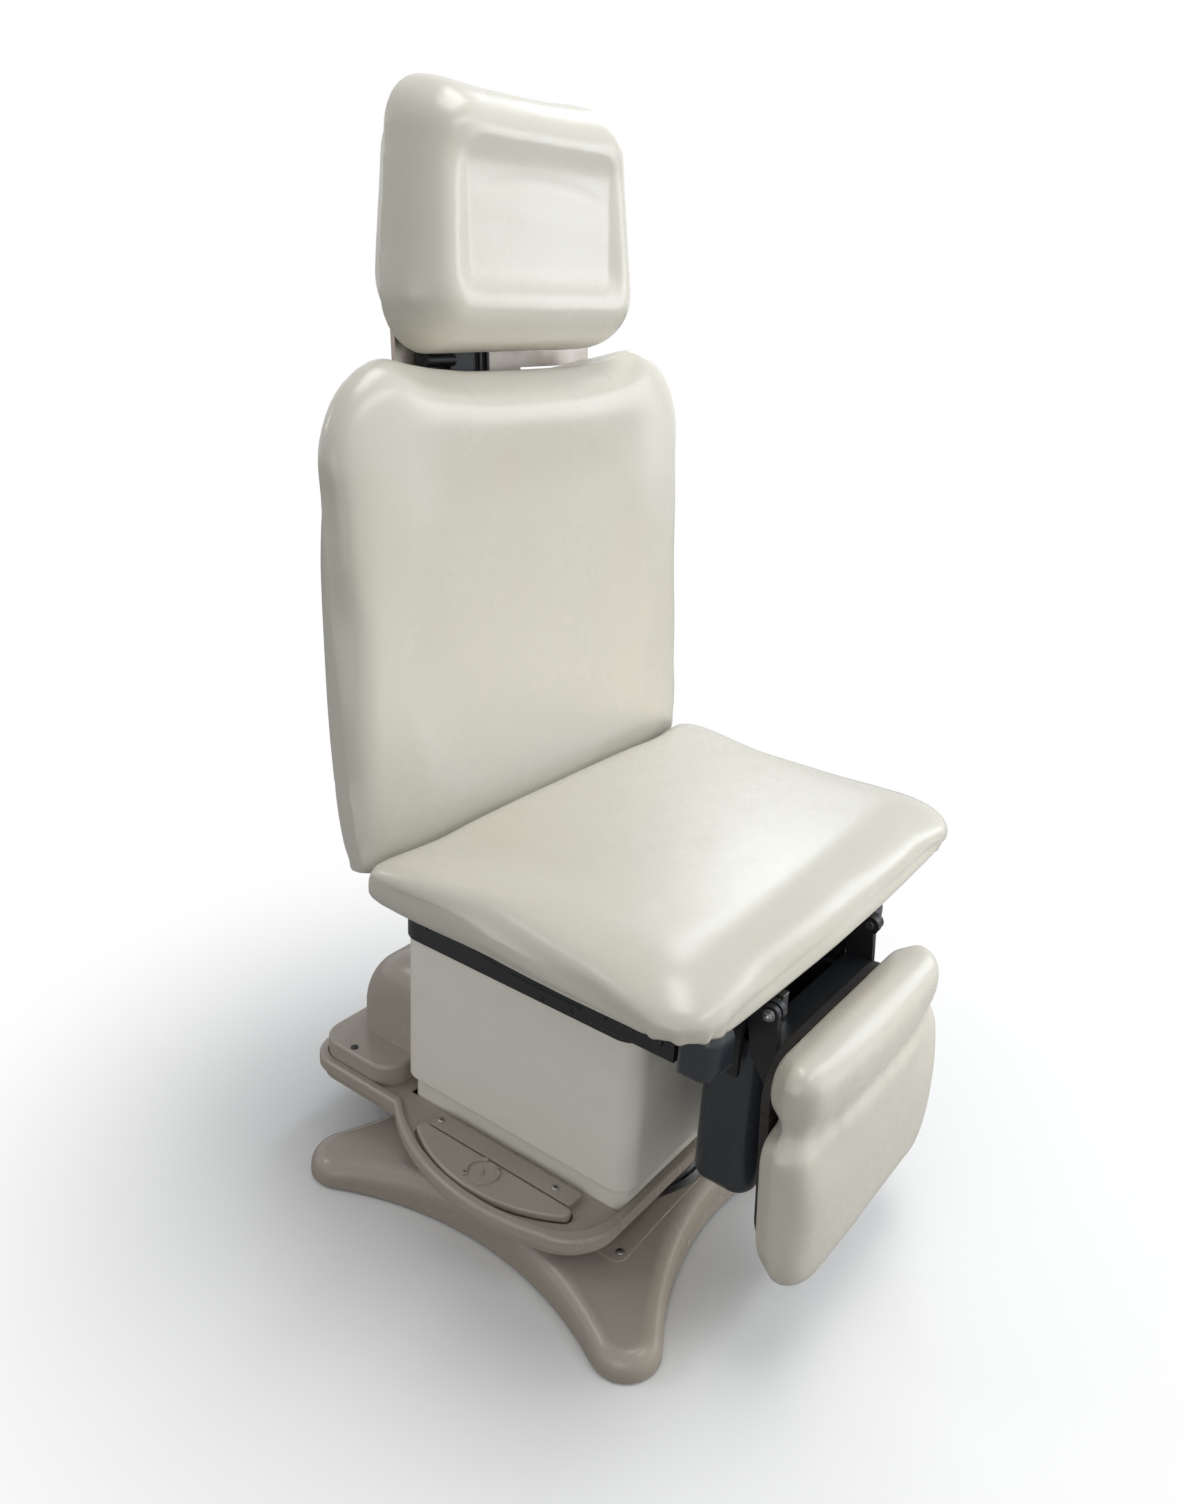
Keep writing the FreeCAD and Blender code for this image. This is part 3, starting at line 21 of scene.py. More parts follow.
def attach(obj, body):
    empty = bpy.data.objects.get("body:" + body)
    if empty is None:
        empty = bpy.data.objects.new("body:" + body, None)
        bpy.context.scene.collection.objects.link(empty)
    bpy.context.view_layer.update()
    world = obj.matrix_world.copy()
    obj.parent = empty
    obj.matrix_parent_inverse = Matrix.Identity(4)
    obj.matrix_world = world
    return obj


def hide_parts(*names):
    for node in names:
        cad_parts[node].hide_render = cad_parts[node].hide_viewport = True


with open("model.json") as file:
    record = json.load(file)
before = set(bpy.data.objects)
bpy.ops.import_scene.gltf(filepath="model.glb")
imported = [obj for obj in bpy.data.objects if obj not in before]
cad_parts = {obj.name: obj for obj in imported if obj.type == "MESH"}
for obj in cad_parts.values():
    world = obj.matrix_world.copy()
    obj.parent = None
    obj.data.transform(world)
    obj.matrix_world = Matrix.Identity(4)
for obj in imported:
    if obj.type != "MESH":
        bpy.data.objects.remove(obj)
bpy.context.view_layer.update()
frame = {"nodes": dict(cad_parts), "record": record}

LOG = logging.getLogger("procedure_table")
MM = 0.001
Array = np.ndarray
BMesh = bmesh.types.BMesh
Material = bpy.types.Material
Mesh = bpy.types.Mesh
Object = bpy.types.Object
Span = tuple[float, float]
Triple = tuple[float, float, float]
Colour = Triple
Number = Union[float, "Value"]


class Slot(Enum):
    """Material slots of the record."""

    VINYL = "vinyl"
    COVER = "cover_paint"
    TAUPE = "taupe_plastic"
    BLACK_PLASTIC = "black_plastic"
    DARK = "dark_gloss"
    BLACK_STEEL = "black_steel"
    ZINC = "zinc_steel"
    STEEL = "plain_steel"
    ALUMINIUM = "aluminium"
    PLYWOOD = "plywood"
    FRICTION = "friction"
    NYLON = "nylon"


# Shader maths


class Value:
    """A shader output that takes part in Python arithmetic."""

    def __init__(self, shader: "Shader", socket: bpy.types.NodeSocket) -> None:
        """Keep the socket and the shader that it belongs to."""
        self.shader = shader
        self.socket = socket

    def __add__(self, other: Number) -> "Value":
        """Sum."""
        return self.shader.math("ADD", self, other)

    def __radd__(self, other: Number) -> "Value":
        """Sum, the number first."""
        return self.shader.math("ADD", other, self)

    def __sub__(self, other: Number) -> "Value":
        """Difference."""
        return self.shader.math("SUBTRACT", self, other)

    def __rsub__(self, other: Number) -> "Value":
        """Difference, the number first."""
        return self.shader.math("SUBTRACT", other, self)

    def __mul__(self, other: Number) -> "Value":
        """Product."""
        return self.shader.math("MULTIPLY", self, other)

    def held(self) -> "Value":
        """The value held between 0 and 1."""
        return self.shader.node("ShaderNodeClamp", {}, {"Value": self})


class Shader:
    """One node tree, of a material or of the surroundings."""

    def __init__(self, name: str, world: bool = False) -> None:
        """Start an empty tree.

        Args:
            name: Name of the material or the surroundings.
            world: Whether the tree is that of the surroundings.
        """
        self.owner = (bpy.data.worlds if world else bpy.data.materials).new(name)
        self.owner.use_nodes = True
        self.output = "ShaderNodeOutputWorld" if world else "ShaderNodeOutputMaterial"
        self.tree = self.owner.node_tree
        self.tree.nodes.clear()

    def feed(self, socket: bpy.types.NodeSocket, value: object) -> None:
        """Set or link one input.

        Args:
            socket: The input.
            value: A Value to link, or what to set on the socket.
        """
        if isinstance(value, Value):
            self.tree.links.new(value.socket, socket)
        elif isinstance(value, tuple) and socket.type == "RGBA" and len(value) == 3:
            socket.default_value = (*value, 1.0)
        else:
            socket.default_value = value

    def node(self, kind: str, settings: Mapping[str, object], inputs: Mapping[Union[str, int], object],
             out: Union[str, int] = 0) -> Value:
        """Add a node.

        Args:
            kind: Blender's name of the node type.
            settings: The node's own settings, set first; "stops" fills a ramp.
            inputs: Values or links of its sockets.
            out: Which output to hand back.

        Returns:
            The chosen output.
        """
        made = self.tree.nodes.new(kind)
        for key, value in settings.items():
            if key == "stops":
                self.fill_ramp(made.color_ramp, value)
            else:
                setattr(made, key, value)
        for key, value in inputs.items():
            self.feed(made.inputs[key], value)
        return Value(self, made.outputs[out])

    @staticmethod
    def fill_ramp(ramp: bpy.types.ColorRamp, stops: Sequence[tuple[float, float]]) -> None:
        """Give a ramp its grey stops.

        Args:
            ramp: The ramp.
            stops: Pairs of place and grey value.
        """
        while len(ramp.elements) < len(stops):
            ramp.elements.new(0.5)
        for element, (place, grey) in zip(ramp.elements, stops):
            element.position = place
            element.color = (grey, grey, grey, 1.0)

    def math(self, operation: str, a: Number, b: Number) -> Value:
        """One Math node."""
        return self.node("ShaderNodeMath", {"operation": operation}, {0: a, 1: b})

    def place(self, scale: Sequence[float] = (1, 1, 1)) -> Value:
        """Object coordinates, stretched."""
        spot = self.node("ShaderNodeTexCoord", {}, {}, "Object")
        return self.node("ShaderNodeMapping", {}, {"Vector": spot, "Scale": Vector(scale)})

    def noise(self, spot: Value, scale: float, detail: float = 3.0, rough: float = 0.55) -> Value:
        """Soft noise between 0 and 1."""
        return self.node("ShaderNodeTexNoise", {}, {"Vector": spot, "Scale": scale, "Detail": detail,
                                                    "Roughness": rough}, "Fac")

    def cells(self, spot: Value, scale: float) -> Value:
        """Distance in a field of cells."""
        return self.node("ShaderNodeTexVoronoi", {}, {"Vector": spot, "Scale": scale}, "Distance")

    def ramp(self, value: Value, *stops: tuple[float, float]) -> Value:
        """A value bent by grey stops."""
        return self.node("ShaderNodeValToRGB", {"stops": stops}, {"Fac": value})

    def mix(self, share: Number, a: Union[Colour, Value], b: Union[Colour, Value]) -> Value:
        """Colour between two colours."""
        return self.node("ShaderNodeMix", {"data_type": "RGBA"}, {0: share, 6: a, 7: b}, 2)

    def soft_edge(self, radius: float) -> Value:
        """Normal rounded over edges, for solids that meet sharply."""
        return self.node("ShaderNodeBevel", {"samples": 4}, {"Radius": radius})

    def edge_mask(self, rounded: Value) -> Value:
        """Find the edges.

        Args:
            rounded: Normal rounded over edges.

        Returns:
            1 on edges, 0 on plain faces.
        """
        flat = self.node("ShaderNodeNewGeometry", {}, {}, "Normal")
        along = self.node("ShaderNodeVectorMath", {"operation": "DOT_PRODUCT"}, {0: rounded, 1: flat}, "Value")
        return self.ramp(1.0 - along, (0.02, 0.0), (0.22, 1.0))

    def bump(self, height: Value, depth: float, strength: float, under: Optional[Value] = None) -> Value:
        """Bump the surface.

        Args:
            height: Height of the relief, 0 to 1.
            depth: Its depth in metres.
            strength: How strongly it shows.
            under: A normal to lay it over, if any.

        Returns:
            The bumped normal.
        """
        inputs: dict = {"Height": height, "Distance": depth, "Strength": strength}
        if under is not None:
            inputs["Normal"] = under
        return self.node("ShaderNodeBump", {}, inputs)

    def surface(self, colour: Union[Colour, Value], roughness: Number, normal: Optional[Value] = None,
                **constants: object) -> Material:
        """Finish the material with a Principled shader.

        Args:
            colour: Base colour.
            roughness: Roughness.
            normal: Normal, if bumped.
            **constants: Other sockets, spaces in their names written as underscores.

        Returns:
            The material.
        """
        inputs: dict = {"Base Color": colour, "Roughness": roughness}
        inputs.update({key.replace("_", " "): value for key, value in constants.items()})
        if normal is not None:
            inputs["Normal"] = normal
        shader = self.node("ShaderNodeBsdfPrincipled", {}, inputs)
        return self.close(shader)

    def close(self, shader: Value) -> Union[Material, bpy.types.World]:
        """Link a shader to the tree's output.

        Args:
            shader: The shader.

        Returns:
            The finished material or surroundings.
        """
        output = self.tree.nodes.new(self.output)
        self.tree.links.new(shader.socket, output.inputs["Surface"])
        return self.owner


# Finishes


@dataclass(frozen=True)
class Vinyl:
    """Upholstery vinyl: pressed grain, faint clouds of tone, satin."""

    name: str = "ivory_vinyl"
    tone: Colour = (0.620, 0.600, 0.525)
    warm: Colour = (0.585, 0.560, 0.475)
    worn: Colour = (0.50, 0.48, 0.425)
    wear: float = 0.14
    roughness: float = 0.27
    cloud_scale: float = 4.0
    rub_scale: float = 11.0
    crease_scale: float = 70.0
    crease_depth: float = 0.0006
    pore_scale: float = 760.0
    fine_scale: float = 1500.0
    pore_depth: float = 0.00014
    coat: float = 0.22
    coat_roughness: float = 0.30

    def make(self) -> Material:
        """Build the material.

        Returns:
            The material.
        """
        s = Shader(self.name)
        spot = s.place()
        clouds = s.noise(spot, self.cloud_scale, 3.0)
        rubbed = s.ramp(s.noise(spot, self.rub_scale, 5.0, 0.6), (0.52, 0.0), (0.78, 1.0))
        colour = s.mix(s.ramp(clouds, (0.35, 0.0), (0.7, 0.8)), self.tone, self.warm)
        colour = s.mix(rubbed * self.wear, colour, self.worn)
        pores = s.cells(spot, self.pore_scale)
        fine = s.noise(spot, self.fine_scale, 2.0)
        creases = s.noise(spot, self.crease_scale, 4.0, 0.6)
        skin = s.bump(creases, self.crease_depth, 0.20)
        skin = s.bump(pores * 0.7 + fine * 0.4, self.pore_depth, 0.50, skin)
        rough = self.roughness + (clouds - 0.5) * 0.14 + rubbed * 0.05 + (fine - 0.5) * 0.10
        return s.surface(colour, rough, skin, Specular_IOR_Level=0.5, Sheen_Weight=0.05, Sheen_Roughness=0.5,
                         Coat_Weight=self.coat, Coat_Roughness=self.coat_roughness)


@dataclass(frozen=True)
class Paint:
    """Sprayed paint on sheet steel, with worn edges."""

    name: str
    tone: Colour
    shade: Colour
    bare: Colour
    roughness: float
    wear: float = 0.3
    grime: float = 0.12
    grime_dark: float = 0.6
    edge_radius: float = 0.0012
    specular: float = 0.45
    cloud_scale: float = 3.0
    grime_scale: float = 23.0
    chip_scale: float = 60.0
    peel_scale: float = 420.0
    peel_depth: float = 0.00012

    def make(self) -> Material:
        """Build the material.

        Returns:
            The material.
        """
        s = Shader(self.name)
        spot = s.place()
        clouds = s.noise(spot, self.cloud_scale, 3.0)
        grime = s.ramp(s.noise(spot, self.grime_scale, 6.0, 0.65), (0.5, 0.0), (0.8, 1.0))
        colour = s.mix(clouds, self.tone, self.shade)
        colour = s.mix(grime * self.grime, colour, tuple(self.grime_dark * c for c in self.tone))
        rounded = s.soft_edge(self.edge_radius)
        chips = s.ramp(s.noise(spot, self.chip_scale, 4.0), (0.45, 0.0), (0.62, 1.0))
        colour = s.mix(s.edge_mask(rounded) * chips * self.wear, colour, self.bare)
        skin = s.bump(s.noise(spot, self.peel_scale, 2.0), self.peel_depth, 0.35, rounded)
        rough = self.roughness + (clouds - 0.5) * 0.10 + grime * 0.10
        return s.surface(colour, rough, skin, Specular_IOR_Level=self.specular)


@dataclass(frozen=True)
class Moulded:
    """Moulded plastic: fine spark texture, rubbed edges, scuffs."""

    name: str
    tone: Colour
    shade: Colour
    rubbed: Colour
    roughness: float
    grain: float = 900.0
    grain_depth: float = 0.00012
    scuffs: float = 0.5
    edge_radius: float = 0.0016
    cloud_scale: float = 3.4
    speck_scale: float = 240.0
    rub_scale: float = 35.0
    streak: Triple = (26.0, 5.0, 9.0)

    def make(self) -> Material:
        """Build the material.

        Returns:
            The material.
        """
        s = Shader(self.name)
        spot = s.place()
        clouds = s.noise(spot, self.cloud_scale, 4.0)
        colour = s.mix(s.ramp(clouds, (0.3, 0.0), (0.72, 1.0)), self.tone, self.shade)
        speck = s.noise(spot, self.speck_scale, 2.0)
        colour = s.mix(s.ramp(speck, (0.55, 0.0), (0.8, 0.5)) * 0.25, colour, self.rubbed)
        rounded = s.soft_edge(self.edge_radius)
        edge = s.edge_mask(rounded) * s.noise(spot, self.rub_scale, 4.0)
        colour = s.mix(edge * 0.5, colour, self.rubbed)
        streak = s.noise(s.place(self.streak), 3.0, 5.0, 0.7)
        scuff = s.ramp(streak, (0.60, 0.0), (0.72, 1.0)) * self.scuffs
        colour = s.mix(scuff * 0.22, colour, self.rubbed)
        spark = s.cells(spot, self.grain) * 0.6 + s.noise(spot, self.grain * 1.6, 2.0) * 0.5
        skin = s.bump(spark, self.grain_depth, 0.6, rounded)
        rough = self.roughness + (clouds - 0.5) * 0.12 + scuff * 0.12
        return s.surface(colour, rough, skin, Specular_IOR_Level=0.5)


@dataclass(frozen=True)
class Metal:
    """Bare or plated metal with drawn lines and stains."""

    name: str
    tone: Colour
    stain: Colour
    roughness: float
    grain: Triple = (6.0, 6.0, 380.0)
    lines: float = 0.35
    line_depth: float = 0.00008
    stain_scale: float = 30.0
    edge_radius: float = 0.0008

    def make(self) -> Material:
        """Build the material.

        Returns:
            The material.
        """
        s = Shader(self.name)
        drawn = s.noise(s.place(self.grain), 3.0, 4.0, 0.6)
        blotch = s.ramp(s.noise(s.place(), self.stain_scale, 5.0), (0.45, 0.0), (0.75, 1.0))
        colour = s.mix(blotch * 0.5, self.tone, self.stain)
        skin = s.bump(drawn, self.line_depth, self.lines, s.soft_edge(self.edge_radius))
        rough = self.roughness + (drawn - 0.5) * 0.22 + blotch * 0.12
        return s.surface(colour, rough, skin, Metallic=1.0)


@dataclass(frozen=True)
class StainedPly:
    """Dark stained plywood board."""

    name: str = "stained_ply"
    tone: Colour = (0.014, 0.012, 0.011)
    light: Colour = (0.032, 0.027, 0.023)
    roughness: float = 0.55
    ring_grain: Triple = (9.0, 1.2, 40.0)
    pore_grain: Triple = (160.0, 9.0, 160.0)
    pore_depth: float = 0.0003

    def make(self) -> Material:
        """Build the material.

        Returns:
            The material.
        """
        s = Shader(self.name)
        rings = s.noise(s.place(self.ring_grain), 3.0, 6.0, 0.6)
        pores = s.noise(s.place(self.pore_grain), 3.0, 3.0)
        colour = s.mix(s.ramp(rings, (0.35, 0.0), (0.7, 1.0)), self.tone, self.light)
        colour = s.mix(s.ramp(pores, (0.5, 0.0), (0.75, 0.6)), colour, self.tone)
        return s.surface(colour, self.roughness + pores * 0.2, s.bump(pores, self.pore_depth, 0.4))


FINISHES: Mapping[Slot, Union[Vinyl, Paint, Moulded, Metal, StainedPly]] = {
    Slot.VINYL: Vinyl(),
    Slot.COVER: Paint("cover_paint", (0.84, 0.82, 0.74), (0.80, 0.78, 0.70), (0.54, 0.52, 0.46), 0.34,
                      wear=0.15),
    Slot.TAUPE: Moulded("taupe_plastic", (0.415, 0.370, 0.312), (0.370, 0.328, 0.274), (0.51, 0.465, 0.40),
                        0.26),
    Slot.BLACK_PLASTIC: Moulded("black_plastic", (0.016, 0.018, 0.021), (0.012, 0.013, 0.015),
                                (0.07, 0.07, 0.075), 0.42, grain=1100.0, scuffs=0.8),
    Slot.DARK: Moulded("dark_smooth_plastic", (0.040, 0.047, 0.058), (0.030, 0.035, 0.044), (0.10, 0.11, 0.12),
                       0.26, grain=1400.0, grain_depth=0.00003),
    Slot.BLACK_STEEL: Paint("black_paint", (0.014, 0.015, 0.018), (0.020, 0.022, 0.026), (0.20, 0.20, 0.20),
                            0.38, wear=0.45),
    Slot.ZINC: Metal("zinc_plate", (0.36, 0.365, 0.36), (0.26, 0.26, 0.25), 0.34),
    Slot.STEEL: Metal("machined_steel", (0.44, 0.44, 0.44), (0.30, 0.29, 0.28), 0.34),
    Slot.ALUMINIUM: Metal("brushed_aluminium", (0.42, 0.375, 0.33), (0.34, 0.295, 0.25), 0.42,
                          (5.0, 320.0, 320.0), 0.5),
    Slot.PLYWOOD: StainedPly(),
    Slot.FRICTION: Moulded("friction_rubber", (0.02, 0.019, 0.018), (0.016, 0.015, 0.015), (0.06, 0.06, 0.06),
                           0.7),
    Slot.NYLON: Moulded("nylon", (0.62, 0.61, 0.57), (0.55, 0.54, 0.50), (0.7, 0.7, 0.66), 0.45),
}
# Near-black finish of the bars drawn as the screws' drive crosses: painted shade where the drive recesses would
# fall dark.
PAINTED_DRIVE_SHADE = Moulded("painted_drive_shade", (0.008, 0.008, 0.009), (0.006, 0.006, 0.007), (0.02, 0.02, 0.02), 0.6)


class Palette:
    """The materials of the table, one for each slot of the record."""

    def __init__(self) -> None:
        """Make every material once."""
        self.of_slot = {slot: finish.make() for slot, finish in FINISHES.items()}
        # painted shade for the screws' drive recesses
        self.drive_shade = PAINTED_DRIVE_SHADE.make()

    def dress_frame(self) -> None:
        """Give every CAD node the finish of its slot."""
        slots = {s["node"]: Slot(s["material_slot"]) for s in frame["record"]["subparts"]}
        for node, obj in frame["nodes"].items():
            material = self.of_slot[slots[node]]
            if not obj.material_slots:
                obj.data.materials.append(material)
            for place in obj.material_slots:
                place.material = material


# Helpers for new pieces


def to_object(name: str, bm: BMesh, materials: Sequence[Material],
              smooth: bool = True) -> Object:
    """Turn a bmesh in metres into an object at the origin.

    Args:
        name: The piece's name.
        bm: The mesh, freed afterwards.
        materials: Its material slots.
        smooth: Whether faces shade smoothly.

    Returns:
        The linked object.
    """
    for face in bm.faces:
        face.smooth = smooth
    mesh = bpy.data.meshes.new(name)
    bm.to_mesh(mesh)
    bm.free()
    for material in materials:
        mesh.materials.append(material)
    obj = bpy.data.objects.new(name, mesh)
    bpy.context.scene.collection.objects.link(obj)
    return obj


def cone(bm: BMesh, sides: int, radii: Span, depth: float, at: Matrix, middle: float = 0.0) -> dict:
    """Add a closed cone or cylinder along the Z axis of a place.

    Args:
        bm: The mesh to add to.
        sides: How many sides it has.
        radii: Its lower and upper radius in millimetres.
        depth: Its length in millimetres.
        at: The place.
        middle: Height of its middle over the place in millimetres.

    Returns:
        What the operator made.
    """
    lower, upper = (radius * MM for radius in radii)
    return bmesh.ops.create_cone(bm, cap_ends=True, segments=sides, radius1=lower, radius2=upper,
                                 depth=depth * MM, matrix=at @ Matrix.Translation((0, 0, middle * MM)))


def step(low: float, high: float, values: Array) -> Array:
    """Smooth step from 0 at low to 1 at high; low may lie above high."""
    t = np.clip((values - low) / (high - low), 0.0, 1.0)
    return t * t * (3.0 - 2.0 * t)


def bell(centre: Union[float, Array], width: float, values: Array) -> Array:
    """Bell curve of a width about a centre."""
    return np.exp(-((values - centre) / width) ** 2)


def rounding(inward: Array, across: Union[float, Array]) -> Array:
    """Height of an elliptical edge: 0 at the rim, 1 from its full width inwards."""
    return np.sqrt(1.0 - np.clip(1.0 - inward / across, 0.0, 1.0) ** 2)


# Cushions


@dataclass(frozen=True)
class Cover:
    """Cloth settings of a cover under slight pressure, by Blender's names."""

    quality: int = 4
    mass: float = 0.3
    tension_stiffness: float = 12.0
    compression_stiffness: float = 12.0
    shear_stiffness: float = 6.0
    bending_stiffness: float = 1.5
    use_pressure: bool = True
    uniform_pressure_force: float = 4.0


@dataclass
class Cushion:
    """A padded piece: grown from its CAD solid, moulded, blown up as cloth and then creased.

    The moulding works in the flat frame in which the section was drawn, in millimetres.
    """

    name: str = "cushion"
    node: str = "seat_cushion"
    body: str = "seat"
    pivot_y: float = 0.0
    pivot_z: float = 0.0
    turned: float = 0.0
    voxel: float = 6.0
    weld: float = 0.02
    start_in: float = 3.0
    fill: float = 0.9
    cover: Cover = Cover()
    frames: int = 20
    tension: int = 45
    cap: float = 9.0
    hold: Span = (3.0, 16.0)
    least_hold: float = 0.02
    face: float = 490.0
    edge: float = 26.0
    rim: Span = (13.0, 3.0)
    rim_steep: float = 0.6
    soft_across: float = 52.0
    soft_down: float = 36.0
    tight_across: float = 24.0
    tight_down: float = 14.0
    eased: int = 8
    ease: float = 0.5
    waves: Sequence[Span] = ((95.0, 0.45), (34.0, 0.12))
    inward: Optional[Array] = None

    def turn(self, back: bool) -> Matrix:
        """How the flat frame and the row frame lie to each other.

        Args:
            back: Whether to turn from the row frame back to the flat one.

        Returns:
            The matrix.
        """
        angle = math.radians(-self.turned if back else self.turned)
        pivot = Matrix.Translation(Vector((0.0, self.pivot_y * MM, self.pivot_z * MM)))
        return pivot @ Matrix.Rotation(angle, 4, "X") @ pivot.inverted()

    def build(self, palette: Palette) -> Object:
        """Make the cushion and let it stand for its CAD node.

        Args:
            palette: The materials.

        Returns:
            The cushion.
        """
        obj = self.blank(palette)
        low, high = self.points(obj.data).min(0), self.points(obj.data).max(0)
        self.remesh(obj)
        self.move(obj, self.round_over)
        self.move(obj, self.mould)
        self.smooth(obj)
        self.blow_up(obj)
        self.refit(obj, low, high)
        self.modify(obj, "SUBSURF", levels=1, render_levels=1)
        self.move(obj, self.crease)
        self.move(obj, self.unevenness)
        obj.data.transform(self.turn(False))
        for polygon in obj.data.polygons:
            polygon.use_smooth = True
        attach(obj, self.body)
        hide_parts(self.node)
        return obj

    def blank(self, palette: Palette) -> Object:
        """Copy the CAD solid into its flat frame.

        Args:
            palette: The materials.

        Returns:
            The copy, its doubled points merged.
        """
        bm = bmesh.new()
        bm.from_mesh(frame["nodes"][self.node].data)
        bmesh.ops.remove_doubles(bm, verts=bm.verts, dist=self.weld * MM)
        bmesh.ops.transform(bm, matrix=self.turn(True), verts=bm.verts)
        return to_object(self.name, bm, [palette.of_slot[Slot.VINYL]])

    def remesh(self, obj: Object) -> None:
        """Give the copy an even net of faces, laid back on the solid that it came from.

        Args:
            obj: The copy.
        """
        solid = bmesh.new()
        solid.from_mesh(obj.data)
        self.modify(obj, "REMESH", mode="VOXEL", voxel_size=self.voxel * MM)
        surface = BVHTree.FromBMesh(solid)
        for vert in obj.data.vertices:
            vert.co = surface.find_nearest(vert.co)[0]
        solid.free()
        obj.data.update()

    def refit(self, obj: Object, low: Array, high: Array) -> None:
        """Bring the cushion's width and length back to those of its solid.

        Args:
            obj: The cushion, in its flat frame.
            low: Lowest corner of the solid.
            high: Highest corner of the solid.
        """
        places = self.points(obj.data)
        for axis in (0, 1):
            now_low, now_high = places[:, axis].min(), places[:, axis].max()
            share = (places[:, axis] - now_low) / (now_high - now_low)
            places[:, axis] = low[axis] + share * (high[axis] - low[axis])
        self.lay(obj.data, places)

    @staticmethod
    def modify(obj: Object, kind: str, **settings: object) -> None:
        """Bake one modifier into the mesh.

        Args:
            obj: The object, which keeps its materials.
            kind: Blender's name of the modifier.
            **settings: The modifier's settings.
        """
        modifier = obj.modifiers.new("made", kind)
        for key, value in settings.items():
            setattr(modifier, key, value)
        graph = bpy.context.evaluated_depsgraph_get()
        baked = bpy.data.meshes.new_from_object(obj.evaluated_get(graph))
        materials = list(obj.data.materials)
        obj.modifiers.clear()
        obj.data = baked
        baked.materials.clear()
        for material in materials:
            baked.materials.append(material)

    def smooth(self, obj: Object) -> None:
        """Ease the mesh.

        Args:
            obj: The cushion.
        """
        bm = bmesh.new()
        bm.from_mesh(obj.data)
        for _ in range(self.eased):
            bmesh.ops.smooth_vert(bm, verts=bm.verts, factor=self.ease, use_axis_x=True, use_axis_y=True,
                                  use_axis_z=True)
        bm.to_mesh(obj.data)
        bm.free()

    @staticmethod
    def spread(mesh: Mesh, values: Array, rounds: int) -> Array:
        """Even out one value per vertex along the edges, as a taut cover does.

        Args:
            mesh: The mesh.
            values: One number per vertex.
            rounds: How often each vertex takes the mean of its neighbours.

        Returns:
            The evened numbers.
        """
        pairs = np.zeros(len(mesh.edges) * 2, dtype=np.int64)
        mesh.edges.foreach_get("vertices", pairs)
        a, b = pairs.reshape(-1, 2).T
        count = np.bincount(pairs, minlength=len(values))
        for _ in range(rounds):
            total = np.bincount(a, values[b], len(values)) + np.bincount(b, values[a], len(values))
            values = 0.5 * values + 0.5 * total / np.maximum(count, 1)
        return values

    @staticmethod
    def read(mesh: Mesh, what: str) -> Array:
        """Read one vector per vertex.

        Args:
            mesh: The mesh.
            what: Blender's name of the vector.

        Returns:
            An array of three columns.
        """
        flat = np.zeros(len(mesh.vertices) * 3)
        mesh.vertices.foreach_get(what, flat)
        return flat.reshape(-1, 3)

    def points(self, mesh: Mesh) -> Array:
        """Vertex places of a mesh in millimetres."""
        return self.read(mesh, "co") / MM

    @staticmethod
    def lay(mesh: Mesh, places: Array) -> None:
        """Put a mesh's vertices at places in millimetres."""
        mesh.vertices.foreach_set("co", (places * MM).ravel())
        mesh.update()

    def move(self, obj: Object, rule: Callable[[Array, Array], Array]) -> None:
        """Move vertices by a rule of places and normals."""
        self.lay(obj.data, rule(self.points(obj.data), self.read(obj.data, "normal")))

    def held(self, places: Array) -> Array:
        """How firmly each point is held while the cloth swells, 0 to 1."""
        return 1.0 - step(*self.hold, places[:, 2] - places[:, 2].min())

    def blow_up(self, obj: Object) -> None:
        """Swell the cover with cloth simulation, held where it is fixed, each point's way capped.

        Args:
            obj: The cushion.
        """
        scene = bpy.context.scene
        before = self.points(obj.data)
        group = obj.vertex_groups.new(name="held")
        for index, weight in enumerate(self.held(before)):
            if weight > self.least_hold:
                group.add([index], float(weight), "REPLACE")
        cloth = obj.modifiers.new("cover", "CLOTH")
        for key, value in asdict(self.cover).items():
            setattr(cloth.settings, key, value)
        cloth.settings.vertex_group_mass = group.name
        cloth.settings.effector_weights.gravity = 0.0
        cloth.collision_settings.use_collision = False
        cloth.point_cache.frame_start = 1
        cloth.point_cache.frame_end = self.frames
        for number in range(1, self.frames + 1):
            scene.frame_set(number)
        swollen = bpy.data.meshes.new_from_object(obj.evaluated_get(bpy.context.evaluated_depsgraph_get()))
        after = self.points(swollen)
        bpy.data.meshes.remove(swollen)
        scene.frame_set(1)
        obj.modifiers.clear()
        obj.vertex_groups.clear()
        normals = self.read(obj.data, "normal")
        rise = self.spread(obj.data, ((after - before) * normals).sum(1), self.tension)
        rise = self.cap * np.tanh(rise / self.cap)
        self.lay(obj.data, before + normals * rise[:, None])
        LOG.info("%s: cover swelled %.1f to %.1f mm", self.name, rise.min(), rise.max())

